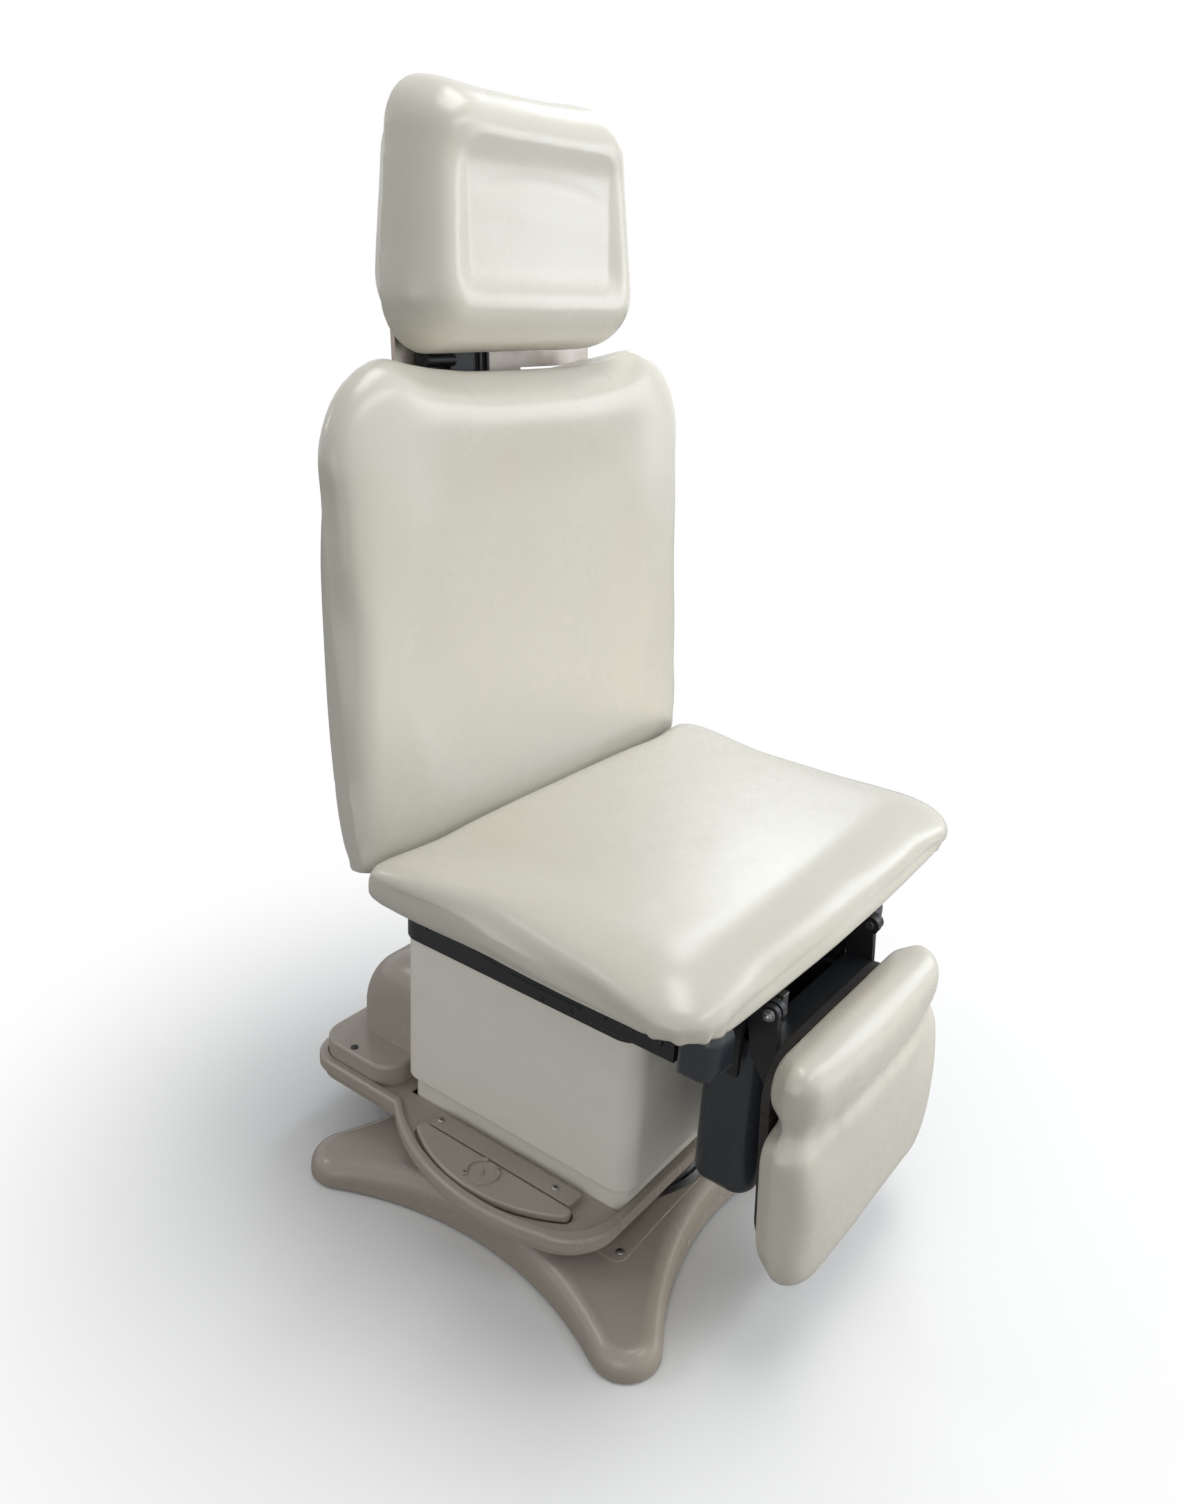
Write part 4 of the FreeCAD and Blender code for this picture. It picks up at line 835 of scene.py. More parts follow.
    def round_over(self, places: Array, normals: Array) -> Array:
        """Widen the rounding of the rim into the full soft edge of foam under a taut cover.

        Args:
            places: Points in the flat frame.
            normals: Their normals.

        Returns:
            The points, lowered towards the rim.
        """
        low, height = places[:, 2].min(), places[:, 2] - (self.face - self.edge)
        on_rim = (height > -self.rim[0]) & (height < self.rim[1]) & (np.abs(normals[:, 2]) < self.rim_steep)
        on_rim &= self.free_rim(places[:, 0], places[:, 1])
        tree = KDTree(int(on_rim.sum()))
        for index, (x, y, _) in enumerate(places[on_rim]):
            tree.insert((x, y, 0.0), index)
        tree.balance()
        self.inward = np.array([tree.find((x, y, 0.0))[2] for x, y, _ in places])
        tight = self.tightness(places[:, 1])
        across = self.soft_across + tight * (self.tight_across - self.soft_across)
        down = self.soft_down + tight * (self.tight_down - self.soft_down)
        was = self.face - self.edge + self.edge * rounding(self.inward, self.edge) - low
        now = self.face - down + down * rounding(self.inward, across) - low
        z = low + (places[:, 2] - low) * now / was
        return np.stack([places[:, 0], places[:, 1], z], 1)

    def free_rim(self, x: Array, y: Array) -> Array:
        """Where the rim is free and so rounds over; the plain cushion's is free all round."""
        return np.abs(x) < np.inf

    def tightness(self, y: Array) -> Array:
        """How far the cover is pulled tight towards a hinge, 0 to 1; the plain cushion's isn't."""
        return np.zeros_like(y)

    def mould(self, places: Array, normals: Array) -> Array:
        """The foam's own shape; the plain cushion keeps what it has."""
        return places

    def crease(self, places: Array, normals: Array) -> Array:
        """Pleats and folds; the plain cushion has none."""
        return places

    def unevenness(self, places: Array, normals: Array) -> Array:
        """Slight waviness of a cover over foam."""
        rise = [sum(noise.noise(Vector(p) / size) * high for size, high in self.waves) for p in places]
        return places + normals * np.array(rise)[:, None]


@dataclass
class SeatCushion(Cushion):
    """Seat: crowned, with a waterfall front and pleats gathered under the front corners."""

    name: str = "seat_upholstery"
    half: float = 303.0
    front: float = -299.0
    rear: float = 110.0
    corner: float = 58.0
    soft_across: float = 80.0
    soft_down: float = 29.0
    rear_held: float = 12.0
    tight_length: float = 260.0
    upper: Span = (448.0, 484.0)
    crown: float = 5.0
    fall: float = 6.0
    fall_length: Span = (80.0, 6.0)
    waist: float = 3.0
    waist_half: float = 205.0
    waist_share: Span = (0.8, 1.0)
    rear_spread: float = 0.045
    spread_from: float = -40.0
    flank_fill: float = 13.0
    flank_z: float = 434.0
    flank_tall: float = 17.0
    flank_in: Span = (90.0, 25.0)
    pleat: float = 1.3
    pleat_z: float = 444.0
    pleat_tall: float = 14.0
    pleat_reach: Span = (20.0, 40.0)
    pleat_start: Span = (-0.25, 0.15)
    pleat_end: Span = (1.85, 1.4)
    pleat_waves: Span = (15.0, 27.0)

    def free_rim(self, x: Array, y: Array) -> Array:
        """All but the rear edge, which meets the back."""
        return y < self.rear - self.rear_held

    def tightness(self, y: Array) -> Array:
        """Tight at the rear."""
        return step(self.rear - self.tight_length, self.rear, y)

    def mould(self, places: Array, normals: Array) -> Array:
        """Crown the top, let the front fall away, draw the sides in between the corners.

        Args:
            places: Points in the flat frame.
            normals: Their normals.

        Returns:
            The moulded points.
        """
        x, y, z = (places - normals * self.start_in).T
        upper, side, behind = step(*self.upper, z), np.abs(x) / self.half, y - self.front
        z = z + upper * self.crown * (1.0 - side ** 2)
        z = z - upper * self.fall * step(*self.fall_length, behind)
        middle = np.clip(1.0 - ((y - self.rear / 2 - self.front / 2) / self.waist_half) ** 2, 0.0, 1.0)
        x = x - np.sign(x) * self.waist * middle * step(*self.waist_share, side)
        x = x * (1.0 + self.rear_spread * step(self.spread_from, self.rear, y))
        low = self.flank_fill * bell(self.flank_z, self.flank_tall, z)
        x = x + np.sign(x) * low * step(*self.flank_in, self.half - np.abs(x))
        y = y - low * step(*self.flank_in, behind)
        return np.stack([x, y, z], 1)

    def crease(self, places: Array, normals: Array) -> Array:
        """Lay pleats that fan out under each front corner.

        Args:
            places: Points in the flat frame.
            normals: Their normals.

        Returns:
            The points with pleats.
        """
        x, y, z = places.T
        across, ahead = np.abs(x) - (self.half - self.corner), self.front + self.corner - y
        angle = np.arctan2(across, ahead)
        around = step(*self.pleat_start, angle) * step(*self.pleat_end, angle)
        band = bell(self.pleat_z, self.pleat_tall, z) * step(*self.pleat_reach, np.hypot(across, ahead))
        fan = np.sin(angle * self.pleat_waves[0]) + 0.5 * np.sin(angle * self.pleat_waves[1] + 1.0)
        return places + normals * (self.pleat * fan * around * band)[:, None]


@dataclass
class BackCushion(Cushion):
    """Back: soft bolsters round a shallow panel, dipped top, gathered lower corners."""

    name: str = "back_upholstery"
    node: str = "back_cushion"
    body: str = "back"
    pivot_y: float = 146.0
    pivot_z: float = 458.0
    turned: float = 86.0
    half: float = 298.0
    foot: float = 132.0
    top: float = 666.0
    edge: float = 24.0
    soft_across: float = 66.0
    soft_down: float = 25.0
    tight_across: float = 30.0
    tight_down: float = 4.0
    tight_length: float = 330.0
    foot_held: Span = (60.0, 8.0)
    slot_in: float = 45.0
    upper: Span = (446.0, 480.0)
    panel_depth: float = 6.0
    panel_side: Span = (206.0, 138.0)
    panel_top: Span = (60.0, 150.0)
    panel_foot: Span = (10.0, 150.0)
    brow: float = 2.0
    brow_down: float = 56.0
    brow_tall: float = 30.0
    brow_side: Span = (260.0, 160.0)
    corner_in: float = 5.0
    corner_up: float = 20.0
    corner_side: Span = (110.0, 10.0)
    corner_tall: Span = (110.0, 90.0)
    dip_fill: float = 8.0
    dip_half: float = 130.0
    dip_down: Span = (90.0, 30.0)
    fold: float = 1.5
    fold_in: Span = (40.0, 8.0)
    fold_up: Span = (190.0, 10.0)
    fold_length: float = 7.5
    fold_z: float = 450.0
    board_hold: float = 0.8
    board_up: Span = (24.0, 4.0)

    def free_rim(self, x: Array, y: Array) -> Array:
        """All but the foot, which meets the seat, and the slots in it."""
        above, outside = y - self.foot, np.abs(x) > self.half - self.slot_in
        return (above > self.foot_held[0]) | (outside & (above > self.foot_held[1]))

    def tightness(self, y: Array) -> Array:
        """Tight at the foot."""
        return step(self.foot + self.tight_length, self.foot, y)

    def mould(self, places: Array, normals: Array) -> Array:
        """Sink the panel between the bolsters and round the rim.

        Args:
            places: Points in the flat frame.
            normals: Their normals.

        Returns:
            The moulded points.
        """
        x, y, z = (places - normals * self.start_in).T
        upper, side, above, down = step(*self.upper, z), np.abs(x), y - self.foot, self.top - y
        panel = step(*self.panel_side, side) * step(*self.panel_top, down) * step(*self.panel_foot, above)
        z = z - upper * self.panel_depth * panel
        z = z + upper * self.brow * bell(self.brow_down, self.brow_tall, down) * step(*self.brow_side, side)
        corner = step(self.corner_tall[0], 0.0, above) * step(*self.corner_side, self.half - side)
        x = x - np.sign(x) * self.corner_in * corner
        y = y + self.corner_up * corner * step(self.corner_tall[1], 0.0, above)
        y = y + self.dip_fill * bell(0.0, self.dip_half, x) * step(*self.dip_down, down)
        return np.stack([x, y, z], 1)

    def crease(self, places: Array, normals: Array) -> Array:
        """Lay short folds up the sides above the foot and at the lower corners.

        Args:
            places: Points in the flat frame.
            normals: Their normals.

        Returns:
            The points with folds.
        """
        x, y, z = places.T
        above, deep = y - self.foot, z - self.fold_z
        low = step(*self.fold_in, self.half - np.abs(x)) * step(*self.fold_up, above)
        folds = np.sin(above / self.fold_length + 0.05 * z) * bell(18.0, 26.0, above)
        folds += 0.8 * bell(118.0 + 0.35 * deep, 4.0, above)
        folds -= 0.6 * bell(164.0 + 0.2 * deep, 6.0, above)
        return places + normals * (-self.fold * folds * low)[:, None]

    def held(self, places: Array) -> Array:
        """Held at the board and at the foot beside the seat."""
        foot = self.board_hold * step(*self.board_up, places[:, 1] - self.foot)
        return np.maximum(super().held(places), foot)


@dataclass
class HeadCushion(Cushion):
    """Headrest: thick pillow with a sunk square panel."""

    name: str = "headrest_upholstery"
    node: str = "headrest_cushion"
    body: str = "headrest"
    pivot_y: float = 146.0
    pivot_z: float = 458.0
    turned: float = 86.0
    voxel: float = 5.0
    cap: float = 7.0
    face: float = 508.0
    edge: float = 28.0
    soft_across: float = 56.0
    soft_down: float = 62.0
    panel_half: float = 128.0
    panel_low: float = 732.0
    panel_high: float = 854.0
    panel_edge: float = 18.0
    panel_depth: float = 9.0
    panel_hold: float = 0.6
    panel_z: Span = (476.0, 484.0)
    face_in: Span = (14.0, 30.0)
    face_z: Span = (462.0, 474.0)
    line: float = 0.9
    line_z: Span = (470.0, 488.0)
    line_side: Span = (128.0, 70.0)
    line_down: float = 22.0
    line_low: float = 798.0

    def mould(self, places: Array, normals: Array) -> Array:
        """Give the pillow a soft sunk panel inside a full border.

        Args:
            places: Points in the flat frame.
            normals: Their normals.

        Returns:
            The moulded points.
        """
        x, y, z = (places - normals * self.start_in).T
        dome = rounding(self.inward, self.soft_across)
        face = self.face - self.soft_down * (1.0 - dome) - self.panel_depth * self.panel(x, y)
        z = z + step(*self.face_in, self.inward) * step(*self.face_z, z) * (face - z)
        return np.stack([x, y, z], 1)

    def panel(self, x: Array, y: Array) -> Array:
        """1 over the sunk panel, fading to 0 over its soft edges."""
        fade = (self.panel_edge, -self.panel_edge)
        return (step(*fade, np.abs(x) - self.panel_half) * step(*fade, self.panel_low - y)
                * step(*fade, y - self.panel_high))

    def held(self, places: Array) -> Array:
        """Held at the board and, more loosely, over the sunk panel."""
        panel = self.panel(places[:, 0], places[:, 1]) * step(*self.panel_z, places[:, 2])
        return np.maximum(super().held(places), self.panel_hold * panel)

    def crease(self, places: Array, normals: Array) -> Array:
        """Draw shallow drag lines across the panel and at its upper corners.

        Args:
            places: Points in the flat frame.
            normals: Their normals.

        Returns:
            The points with drag lines.
        """
        x, y, z = places.T
        face = step(*self.line_z, z) * step(*self.line_side, np.abs(x))
        lines = bell(self.panel_high - self.line_down - 0.0012 * x * x, 6.0, y)
        lines = lines - 0.5 * bell(self.line_low - 0.09 * x, 12.0, y)
        return places + normals * (-self.line * face * lines)[:, None]


@dataclass
class LegCushion(Cushion):
    """Leg section: an upper roll and a long pad with a sewn channel between them."""

    name: str = "leg_upholstery"
    node: str = "leg_cushion"
    body: str = "leg"
    pivot_y: float = -278.0
    pivot_z: float = 396.0
    turned: float = 86.0
    voxel: float = 5.0
    cap: float = 7.0
    face: float = 471.0
    edge: float = 24.0
    soft_across: float = 34.0
    soft_down: float = 30.0
    near: float = -306.0
    roll: float = 78.0
    roll_wide: float = 30.0
    pad: float = 70.0
    pad_wide: float = 60.0
    crown: float = 3.0
    upper: Span = (428.0, 456.0)
    sewn: float = 7.0
    sewn_down: Span = (12.0, 26.0)
    pucker_wide: float = 17.0
    pucker_z: Span = (425.0, 440.0)

    def mould(self, places: Array, normals: Array) -> Array:
        """Crown both fields.

        Args:
            places: Points in the flat frame.
            normals: Their normals.

        Returns:
            The moulded points.
        """
        x, y, z = (places - normals * self.start_in).T
        upper = step(*self.upper, z)
        z = z + upper * self.crown * bell(self.near - self.roll / 2, self.roll_wide, y)
        z = z + upper * self.crown * bell(self.near - self.roll - self.pad, self.pad_wide, y)
        return np.stack([x, y, z], 1)

    def held(self, places: Array) -> Array:
        """Held at the board and along the sewn channel."""
        channel = bell(self.near - self.roll, self.sewn, places[:, 1])
        return np.maximum(super().held(places), channel * step(*self.sewn_down, self.face - places[:, 2]))

    def crease(self, places: Array, normals: Array) -> Array:
        """Gather small puckers along the sewn channel.

        Args:
            places: Points in the flat frame.
            normals: Their normals.

        Returns:
            The points with puckers.
        """
        x, y, z = places.T
        near = bell(self.near - self.roll, self.pucker_wide, y) * step(*self.pucker_z, z)
        pucker = np.sin(x / 5.2) * 0.35 + np.sin(x / 13.0 + 1.0) * 0.45
        return places + normals * (pucker * near)[:, None]


# Hardware


@dataclass
class Heads:
    """Heads of like screws, set on the CAD screws that they stand for."""

    node: str
    body: str
    slot: Slot
    axis: Vector
    sides: int = 28
    shank_sides: int = 16
    height: float = 1.8
    taper: float = 0.94
    shank: float = 0.36
    dome: float = 0.45
    cross: bool = True
    cross_turn: float = 0.4
    cross_size: tuple[float, float] = (1.05, 0.24)
    cross_high: float = 0.3
    weld: float = 0.01

    def islands(self) -> list[Array]:
        """Part the node into its separate screws.

        Returns:
            The points of each screw.
        """
        bm = bmesh.new()
        bm.from_mesh(frame["nodes"][self.node].data)
        bmesh.ops.remove_doubles(bm, verts=bm.verts, dist=self.weld * MM)
        left = set(bm.verts)
        found = []
        while left:
            group, edge = [], [left.pop()]
            while edge:
                vert = edge.pop()
                group.append(vert.co[:])
                for other in (e.other_vert(vert) for e in vert.link_edges):
                    if other in left:
                        left.remove(other)
                        edge.append(other)
            found.append(np.array(group))
        bm.free()
        return found

    def build(self, palette: Palette) -> Object:
        """Make all heads with their shanks and let them stand for the node.

        Args:
            palette: The materials.

        Returns:
            One object with every screw of the node.
        """
        bm = bmesh.new()
        for points in self.islands():
            axis = self.axis.copy()
            if axis.x:
                axis.x = math.copysign(1.0, points.mean(0)[0])
            self.one(bm, points, axis)
        # second slot: near-black painted shade for the drive crosses
        obj = to_object(self.node + "_heads", bm, [palette.of_slot[self.slot], palette.drive_shade])
        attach(obj, self.body)
        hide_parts(self.node)
        return obj

    def one(self, bm: BMesh, points: Array, axis: Vector) -> None:
        """Add one screw on the points of its CAD solid.

        Args:
            bm: The mesh to add to.
            points: The CAD screw's points.
            axis: The way that the head faces.
        """
        way = np.array(axis)
        along = points @ way
        centre = (points.max(0) + points.min(0)) / 2
        flat = centre - way * (centre @ way)
        radius = max(np.linalg.norm(points - flat - np.outer(along, way), axis=1)) / MM
        turn = axis.to_track_quat("Z", "Y").to_matrix().to_4x4()
        at = Matrix.Translation(Vector(flat) + axis * along.max()) @ turn
        head = cone(bm, self.sides, (radius, radius * self.taper), self.height, at, -self.height / 2)
        upper = {v for v in head["verts"] if (at.inverted() @ v.co).z > -self.weld * MM}
        rim = {e for v in upper for e in v.link_edges if upper.issuperset(e.verts)}
        bmesh.ops.bevel(bm, geom=list(rim), offset=radius * MM * self.dome / 2, segments=4, profile=0.5,
                        affect="EDGES", material=-1)
        shank = (along.max() - along.min()) / MM - self.height
        thin = radius * self.shank
        cone(bm, self.shank_sides, (thin, thin), shank, at, -self.height - shank / 2)
        if self.cross:
            self.drive(bm, at, radius)

    def drive(self, bm: BMesh, at: Matrix, radius: float) -> None:
        """Add the cross of the drive as thin near-black bars on the head: painted shade standing in for the
        dark of the drive's recess.

        Args:
            bm: The mesh to add to.
            at: Place of the head's top.
            radius: The head's radius.
        """
        long, wide = (share * radius for share in self.cross_size)
        size = Matrix.Diagonal((long * MM, wide * MM, self.cross_high * MM, 1.0))
        for angle in (self.cross_turn, self.cross_turn + math.pi / 2):
            bar = bmesh.ops.create_cube(bm, size=1.0, matrix=at @ Matrix.Rotation(angle, 4, "Z") @ size)
            # near-black slot: painted shade standing in for the drive's recess
            for face in {f for v in bar["verts"] for f in v.link_faces}:
                face.material_index = 1


@dataclass
class Fitting:
    """A small hard piece that stands only in the looks."""

    name: str
    body: str
    slot: Slot
    soft: float

    def shape(self, bm: BMesh) -> None:
        """Draw the piece; each kind of fitting has its own way."""
        raise NotImplementedError

    def build(self, palette: Palette) -> Object:
        """Make the piece with slightly rounded edges.

        Args:
            palette: The materials.

        Returns:
            The piece.
        """
        bm = bmesh.new()
        self.shape(bm)
        obj = to_object(self.name, bm, [palette.of_slot[self.slot]], smooth=False)
        edge = obj.modifiers.new("soft_edges", "BEVEL")
        edge.width = self.soft * MM
        edge.segments = 2
        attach(obj, self.body)
        return obj


@dataclass
class PedalMark(Fitting):
    """Raised turning-arrows sign on the brake pedal."""

    name: str = "pedal_sign"
    body: str = "pedal"
    slot: Slot = Slot.TAUPE
    soft: float = 0.3
    x: float = -218.0
    y: float = 10.0
    z: float = 97.0
    radius: float = 19.5
    width: float = 4.6
    rise: float = 2.3
    starts: Span = (20.0, 200.0)
    sweep: float = 118.0
    steps: int = 16
    tip: Span = (4.6, 4.2)
    bar: Span = (10.0, 2.6)
    bar_turn: float = 0.9
    weld: float = 0.001

    def shape(self, bm: BMesh) -> None:
        """Draw both curved arrows and the short bar between them.

        Args:
            bm: The mesh to draw in.
        """
        centre = Vector((self.x, self.y, self.z)) * MM
        for start in self.starts:
            self.arrow(bm, centre, math.radians(start))
        size = Matrix.Diagonal((*(side * MM for side in (*self.bar, 2 * self.rise)), 1.0))
        turn = Matrix.Rotation(self.bar_turn, 4, "Z")
        bmesh.ops.create_cube(bm, size=1.0, matrix=Matrix.Translation(centre) @ turn @ size)
        bmesh.ops.remove_doubles(bm, verts=bm.verts, dist=self.weld * MM)
        bmesh.ops.recalc_face_normals(bm, faces=bm.faces)

    def arrow(self, bm: BMesh, centre: Vector, start: float) -> None:
        """Add one curved arrow: a spun bar and a three-sided head.

        Args:
            bm: The mesh to add to.
            centre: Centre of the curve.
            start: Angle at which the bar starts, in radians.
        """
        inner, outer = self.radius - self.width / 2, self.radius + self.width / 2
        out, up = Vector((math.cos(start), math.sin(start), 0.0)) * MM, Vector((0.0, 0.0, self.rise)) * MM
        corners = (out * inner - up, out * outer - up, out * outer + up, out * inner + up)
        face = bm.faces.new([bm.verts.new(centre + corner) for corner in corners])
        bmesh.ops.spin(bm, geom=[face, *face.edges, *face.verts], cent=centre, axis=(0, 0, 1),
                       angle=math.radians(self.sweep), steps=self.steps, use_duplicate=False)
        end = start + math.radians(self.sweep)
        tip = centre + Vector((math.cos(end), math.sin(end), 0.0)) * self.radius * MM
        at = Matrix.Translation(tip) @ Matrix.Rotation(end + math.pi / 2, 4, "Z")
        cone(bm, 3, self.tip, 2 * self.rise, at)


@dataclass
class HingeBolts(Fitting):
    """Plated hexagon bolts with washers at both ends of the leg hinge."""

    name: str = "leg_hinge_bolts"
    body: str = "seat"
    slot: Slot = Slot.ZINC
    soft: float = 0.5
    ends: Span = (125.2, -125.2)
    y: float = -278.0
    z: float = 396.0
    across: float = 9.0
    height: float = 4.0
    washer: float = 6.8
    washer_thick: float = 1.6
    end: Span = (3.2, 2.6)
    end_long: float = 3.0
    end_out: float = 1.0

    def shape(self, bm: BMesh) -> None:
        """Draw the bolts; each faces away from the middle plane.

        Args:
            bm: The mesh to draw in.
        """
        hexagon = self.across / math.sqrt(3.0)
        for x in self.ends:
            turn = Matrix.Rotation(math.copysign(math.pi / 2, x), 4, "Y")
            at = Matrix.Translation(Vector((x, self.y, self.z)) * MM) @ turn
            cone(bm, 28, (self.washer, self.washer), self.washer_thick, at, self.washer_thick / 2)
            cone(bm, 6, (hexagon, hexagon), self.height, at, self.washer_thick + self.height / 2)
            cone(bm, 20, self.end, self.end_long, at, self.washer_thick + self.height + self.end_out)


@dataclass
class SlideBlock(Fitting):
    """Dark slide block with its clamp roller on the left half of the headrest plate."""

    name: str = "headrest_slide_block"
    body: str = "headrest_post"
    slot: Slot = Slot.BLACK_PLASTIC
    soft: float = 0.8
    left: float = -90.0
    right: float = 24.0
    low: float = 636.0
    high: float = 684.0
    face: float = 394.2
    thick: float = 5.0
    rib_in: Span = (9.0, 21.0)
    rib_wide: float = 4.0
    rib_high: float = 4.0
    cheek_in: Span = (4.0, 40.0)
    cheek_wide: float = 5.0
    cheek_half: float = 11.0
    cheek_high: float = 9.0
    roller: float = 7.5
    roller_long: float = 44.0
    roller_in: float = 25.0
    roller_up: float = 5.0

    def shape(self, bm: BMesh) -> None:
        """Draw the block, its ribs and cheeks and the roller flat, and raise them with the back.

        Args:
            bm: The mesh to draw in.
        """
        middle, top, length = (self.low + self.high) / 2, self.face + self.thick, (self.low, self.high)
        cheek = (middle - self.cheek_half, middle + self.cheek_half)
        self.bar(bm, (self.left, self.right), length, (self.face, top))
        for x in (self.right - inset for inset in self.rib_in):
            self.bar(bm, (x, x + self.rib_wide), length, (self.face, top + self.rib_high))
        for x in (self.left + inset for inset in self.cheek_in):
            self.bar(bm, (x, x + self.cheek_wide), cheek, (self.face, top + self.cheek_high))
        place = Matrix.Translation(Vector((self.left + self.roller_in, middle, top + self.roller_up)) * MM)
        cone(bm, 32, (self.roller, self.roller), self.roller_long, place @ Matrix.Rotation(math.pi / 2, 4, "Y"))
        bmesh.ops.transform(bm, matrix=BackCushion().turn(False), verts=bm.verts)

    @staticmethod
    def bar(bm: BMesh, *limits: Span) -> None:
        """Add one square bar.

        Args:
            bm: The mesh to add to.
            *limits: Its limits along each axis in millimetres.
        """
        middle = Vector([low + high for low, high in limits]) * MM / 2
        size = Matrix.Diagonal((*((high - low) * MM for low, high in limits), 1.0))
        bmesh.ops.create_cube(bm, size=1.0, matrix=Matrix.Translation(middle) @ size)


# Studio


@dataclass(frozen=True)
class Lamp:
    """One soft area lamp; lengths in metres, power in watts."""

    name: str
    place: Triple
    target: Triple
    size: Span
    power: float
    colour: Colour
    mirrored: bool = True

    def build(self) -> None:
        """Hang the lamp and point it at its target."""
        data = bpy.data.lights.new(self.name, "AREA")
        data.shape = "RECTANGLE"
        data.size, data.size_y = self.size
        data.energy = self.power
        data.color = self.colour
        obj = bpy.data.objects.new(self.name, data)
        obj.visible_glossy = self.mirrored
        way = Vector(self.target) - Vector(self.place)
        turn = way.to_track_quat("-Z", "Y").to_matrix().to_4x4()
        obj.matrix_world = Matrix.Translation(Vector(self.place)) @ turn
        bpy.context.scene.collection.objects.link(obj)


WARM: Colour = (1.0, 0.98, 0.94)
LAMPS = (
    Lamp("ceiling", (0.3, -0.4, 2.9), (0.0, 0.0, 0.5), (1.8, 0.8), 25.0, WARM),
    Lamp("front_fill", (1.2, -1.6, 0.2), (0.0, -0.4, 0.28), (1.2, 0.5), 21.0, WARM, mirrored=False),
    Lamp("rear_window", (-1.5, 2.0, 2.0), (0.0, 0.2, 0.3), (0.7, 0.7), 8.0, WARM),
    Lamp("tube_front", (0.5, -1.9, 2.3), (0.0, -0.1, 0.5), (1.8, 0.22), 11.0, (0.96, 0.98, 1.0)),
    Lamp("window", (2.0, -1.35, 1.4), (0.0, 0.0, 0.8), (0.8, 1.4), 12.0, (0.80, 0.89, 1.0)),
    Lamp("window_side", (2.2, 0.8, 2.2), (0.0, 0.2, 0.8), (0.6, 1.1), 11.0, (0.86, 0.93, 1.0)),
    Lamp("camera_side", (-2.6, -0.9, 0.9), (0.0, 0.0, 0.3), (1.8, 1.2), 9.0, (1.0, 0.97, 0.92)),
)


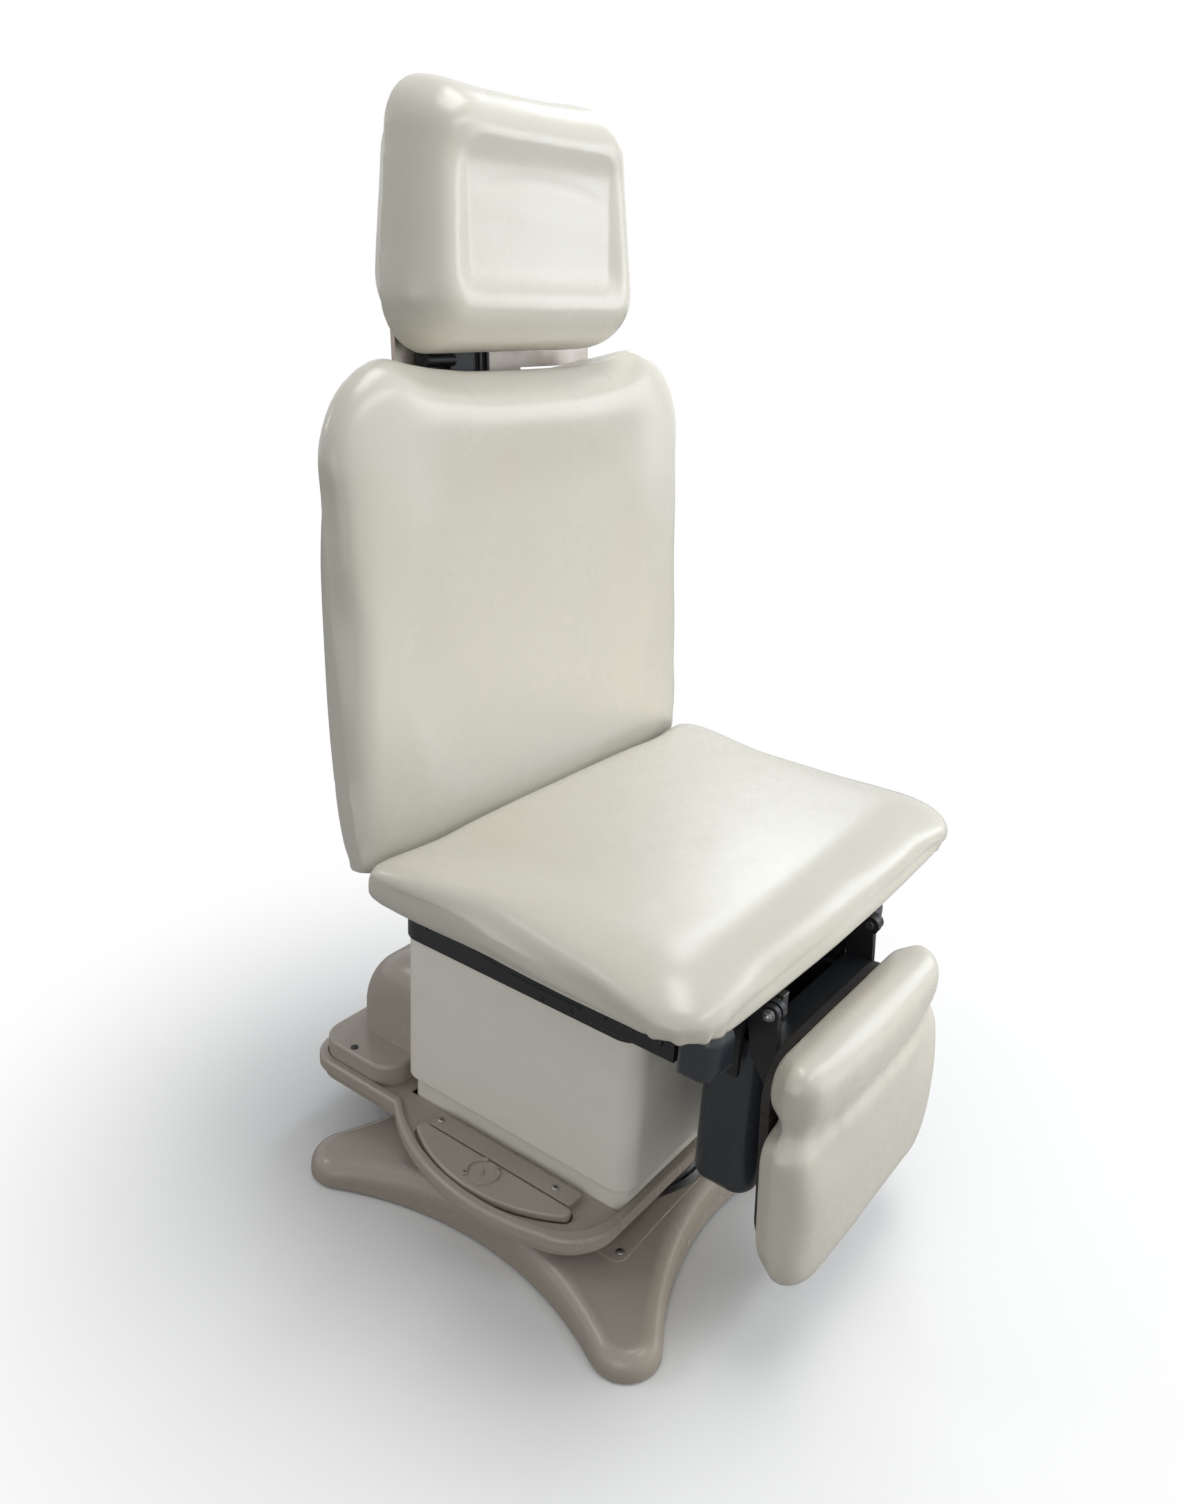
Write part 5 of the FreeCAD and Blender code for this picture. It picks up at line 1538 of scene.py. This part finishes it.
@dataclass
class Studio:
    """Camera, pale floor and soft light; lengths in metres, angles in degrees."""

    eye: Triple = (-1.053, -0.710, 1.076)
    yaw: float = 54.7
    pitch: float = 22.2
    roll: float = 3.65
    sensor: float = 36.0
    lens_share: float = 1202.0 / 1504.0
    clip: float = 0.02
    sky: Colour = (0.93, 0.96, 1.0)
    sky_strength: float = 0.38
    white: Colour = (1.0, 1.0, 1.0)
    floor_size: float = 14.0
    floor_down: float = 0.0004
    floor_near: float = 0.30
    floor_far: float = 0.95
    floor_tone: Colour = (0.92, 0.92, 0.92)
    floor_bounce: Colour = (0.40, 0.39, 0.38)

    def camera(self) -> None:
        """Set up the camera at the photograph's viewpoint."""
        yaw, pitch, roll = (math.radians(a) for a in (self.yaw, self.pitch, self.roll))
        ahead = Vector((math.sin(yaw) * math.cos(pitch), math.cos(yaw) * math.cos(pitch), -math.sin(pitch)))
        right = Vector((math.cos(yaw), -math.sin(yaw), 0.0))
        up = right.cross(ahead)
        turned_right = math.cos(roll) * right + math.sin(roll) * up
        turned_up = -math.sin(roll) * right + math.cos(roll) * up
        data = bpy.data.cameras.new("camera")
        data.sensor_fit = "VERTICAL"
        data.sensor_height = self.sensor
        data.lens = self.lens_share * self.sensor
        data.clip_start = self.clip
        obj = bpy.data.objects.new("camera", data)
        axes = Matrix((turned_right, turned_up, -ahead)).transposed().to_4x4()
        obj.matrix_world = Matrix.Translation(Vector(self.eye)) @ axes
        bpy.context.scene.collection.objects.link(obj)
        bpy.context.scene.camera = obj

    def world(self) -> None:
        """Pale surroundings: white to the camera and in mirrors, softer as light."""
        s = Shader("studio", world=True)
        camera, glossy, through = (s.node("ShaderNodeLightPath", {}, {}, kind) for kind in
                                   ("Is Camera Ray", "Is Glossy Ray", "Is Transmission Ray"))
        seen = (camera + s.math("MAXIMUM", glossy, through)).held()
        light = s.node("ShaderNodeBackground", {}, {"Color": self.sky, "Strength": self.sky_strength})
        white = s.node("ShaderNodeBackground", {}, {"Color": self.white, "Strength": 1.0})
        bpy.context.scene.world = s.close(s.node("ShaderNodeMixShader", {}, {0: seen, 1: light, 2: white}))

    def floor(self) -> None:
        """A plain pale floor that keeps the object's shadow and runs out into white."""
        s = Shader("pale_floor")
        seen = s.node("ShaderNodeLightPath", {}, {}, "Is Camera Ray")
        near = s.node("ShaderNodeBsdfDiffuse", {}, {"Color": s.mix(seen, self.floor_bounce, self.floor_tone)})
        white = s.node("ShaderNodeEmission", {}, {"Color": self.white, "Strength": 1.0})
        spot = s.node("ShaderNodeTexCoord", {}, {}, "Object")
        away = s.node("ShaderNodeVectorMath", {"operation": "LENGTH"}, {0: spot}, "Value")
        fade = s.node("ShaderNodeMapRange", {"interpolation_type": "SMOOTHSTEP"},
                      {"Value": away, "From Min": self.floor_near, "From Max": self.floor_far})
        material = s.close(s.node("ShaderNodeMixShader", {}, {0: fade * seen, 1: near, 2: white}))
        bm = bmesh.new()
        bmesh.ops.create_grid(bm, x_segments=4, y_segments=4, size=self.floor_size / 2,
                              matrix=Matrix.Translation((0, 0, -self.floor_down)))
        to_object("floor", bm, [material])

    def build(self) -> None:
        """Set the whole studio up."""
        self.camera()
        self.world()
        self.floor()
        for lamp in LAMPS:
            lamp.build()


@dataclass
class Table:
    """The whole table: the dressed frame and what is laid over it."""

    palette: Palette = field(default_factory=Palette)

    def cushions(self) -> list[Cushion]:
        """The four padded pieces."""
        return [SeatCushion(), BackCushion(), HeadCushion(), LegCushion()]

    def heads(self) -> list[Heads]:
        """List every set of screws that shows.

        Returns:
            The sets.
        """
        up, side = Vector((0, 0, 1)), Vector((1, 0, 0))
        return [Heads("strip_screws", "turntable", Slot.ZINC, up), Heads("base_screws", "base", Slot.ZINC, up),
                Heads("rear_cover_screws", "turntable", Slot.BLACK_STEEL, up),
                Heads("band_screws", "carriage", Slot.BLACK_STEEL, side),
                Heads("bar_bolts", "seat", Slot.BLACK_STEEL, side, dome=0.8, cross=False)]

    def build(self) -> Iterable[Object]:
        """Dress the frame and build every piece.

        Returns:
            The new pieces.
        """
        self.palette.dress_frame()
        for piece in [*self.cushions(), *self.heads(), PedalMark(), SlideBlock(), HingeBolts()]:
            yield piece.build(self.palette)


def main() -> None:
    """Build the studio and the table, and report each piece."""
    logging.basicConfig(level=logging.INFO, format="%(message)s")
    bpy.context.scene.view_settings.view_transform = "Standard"
    Studio().build()
    for piece in Table().build():
        LOG.info("built %s with %d faces", piece.name, len(piece.data.polygons))


if __name__ == "__main__":
    main()
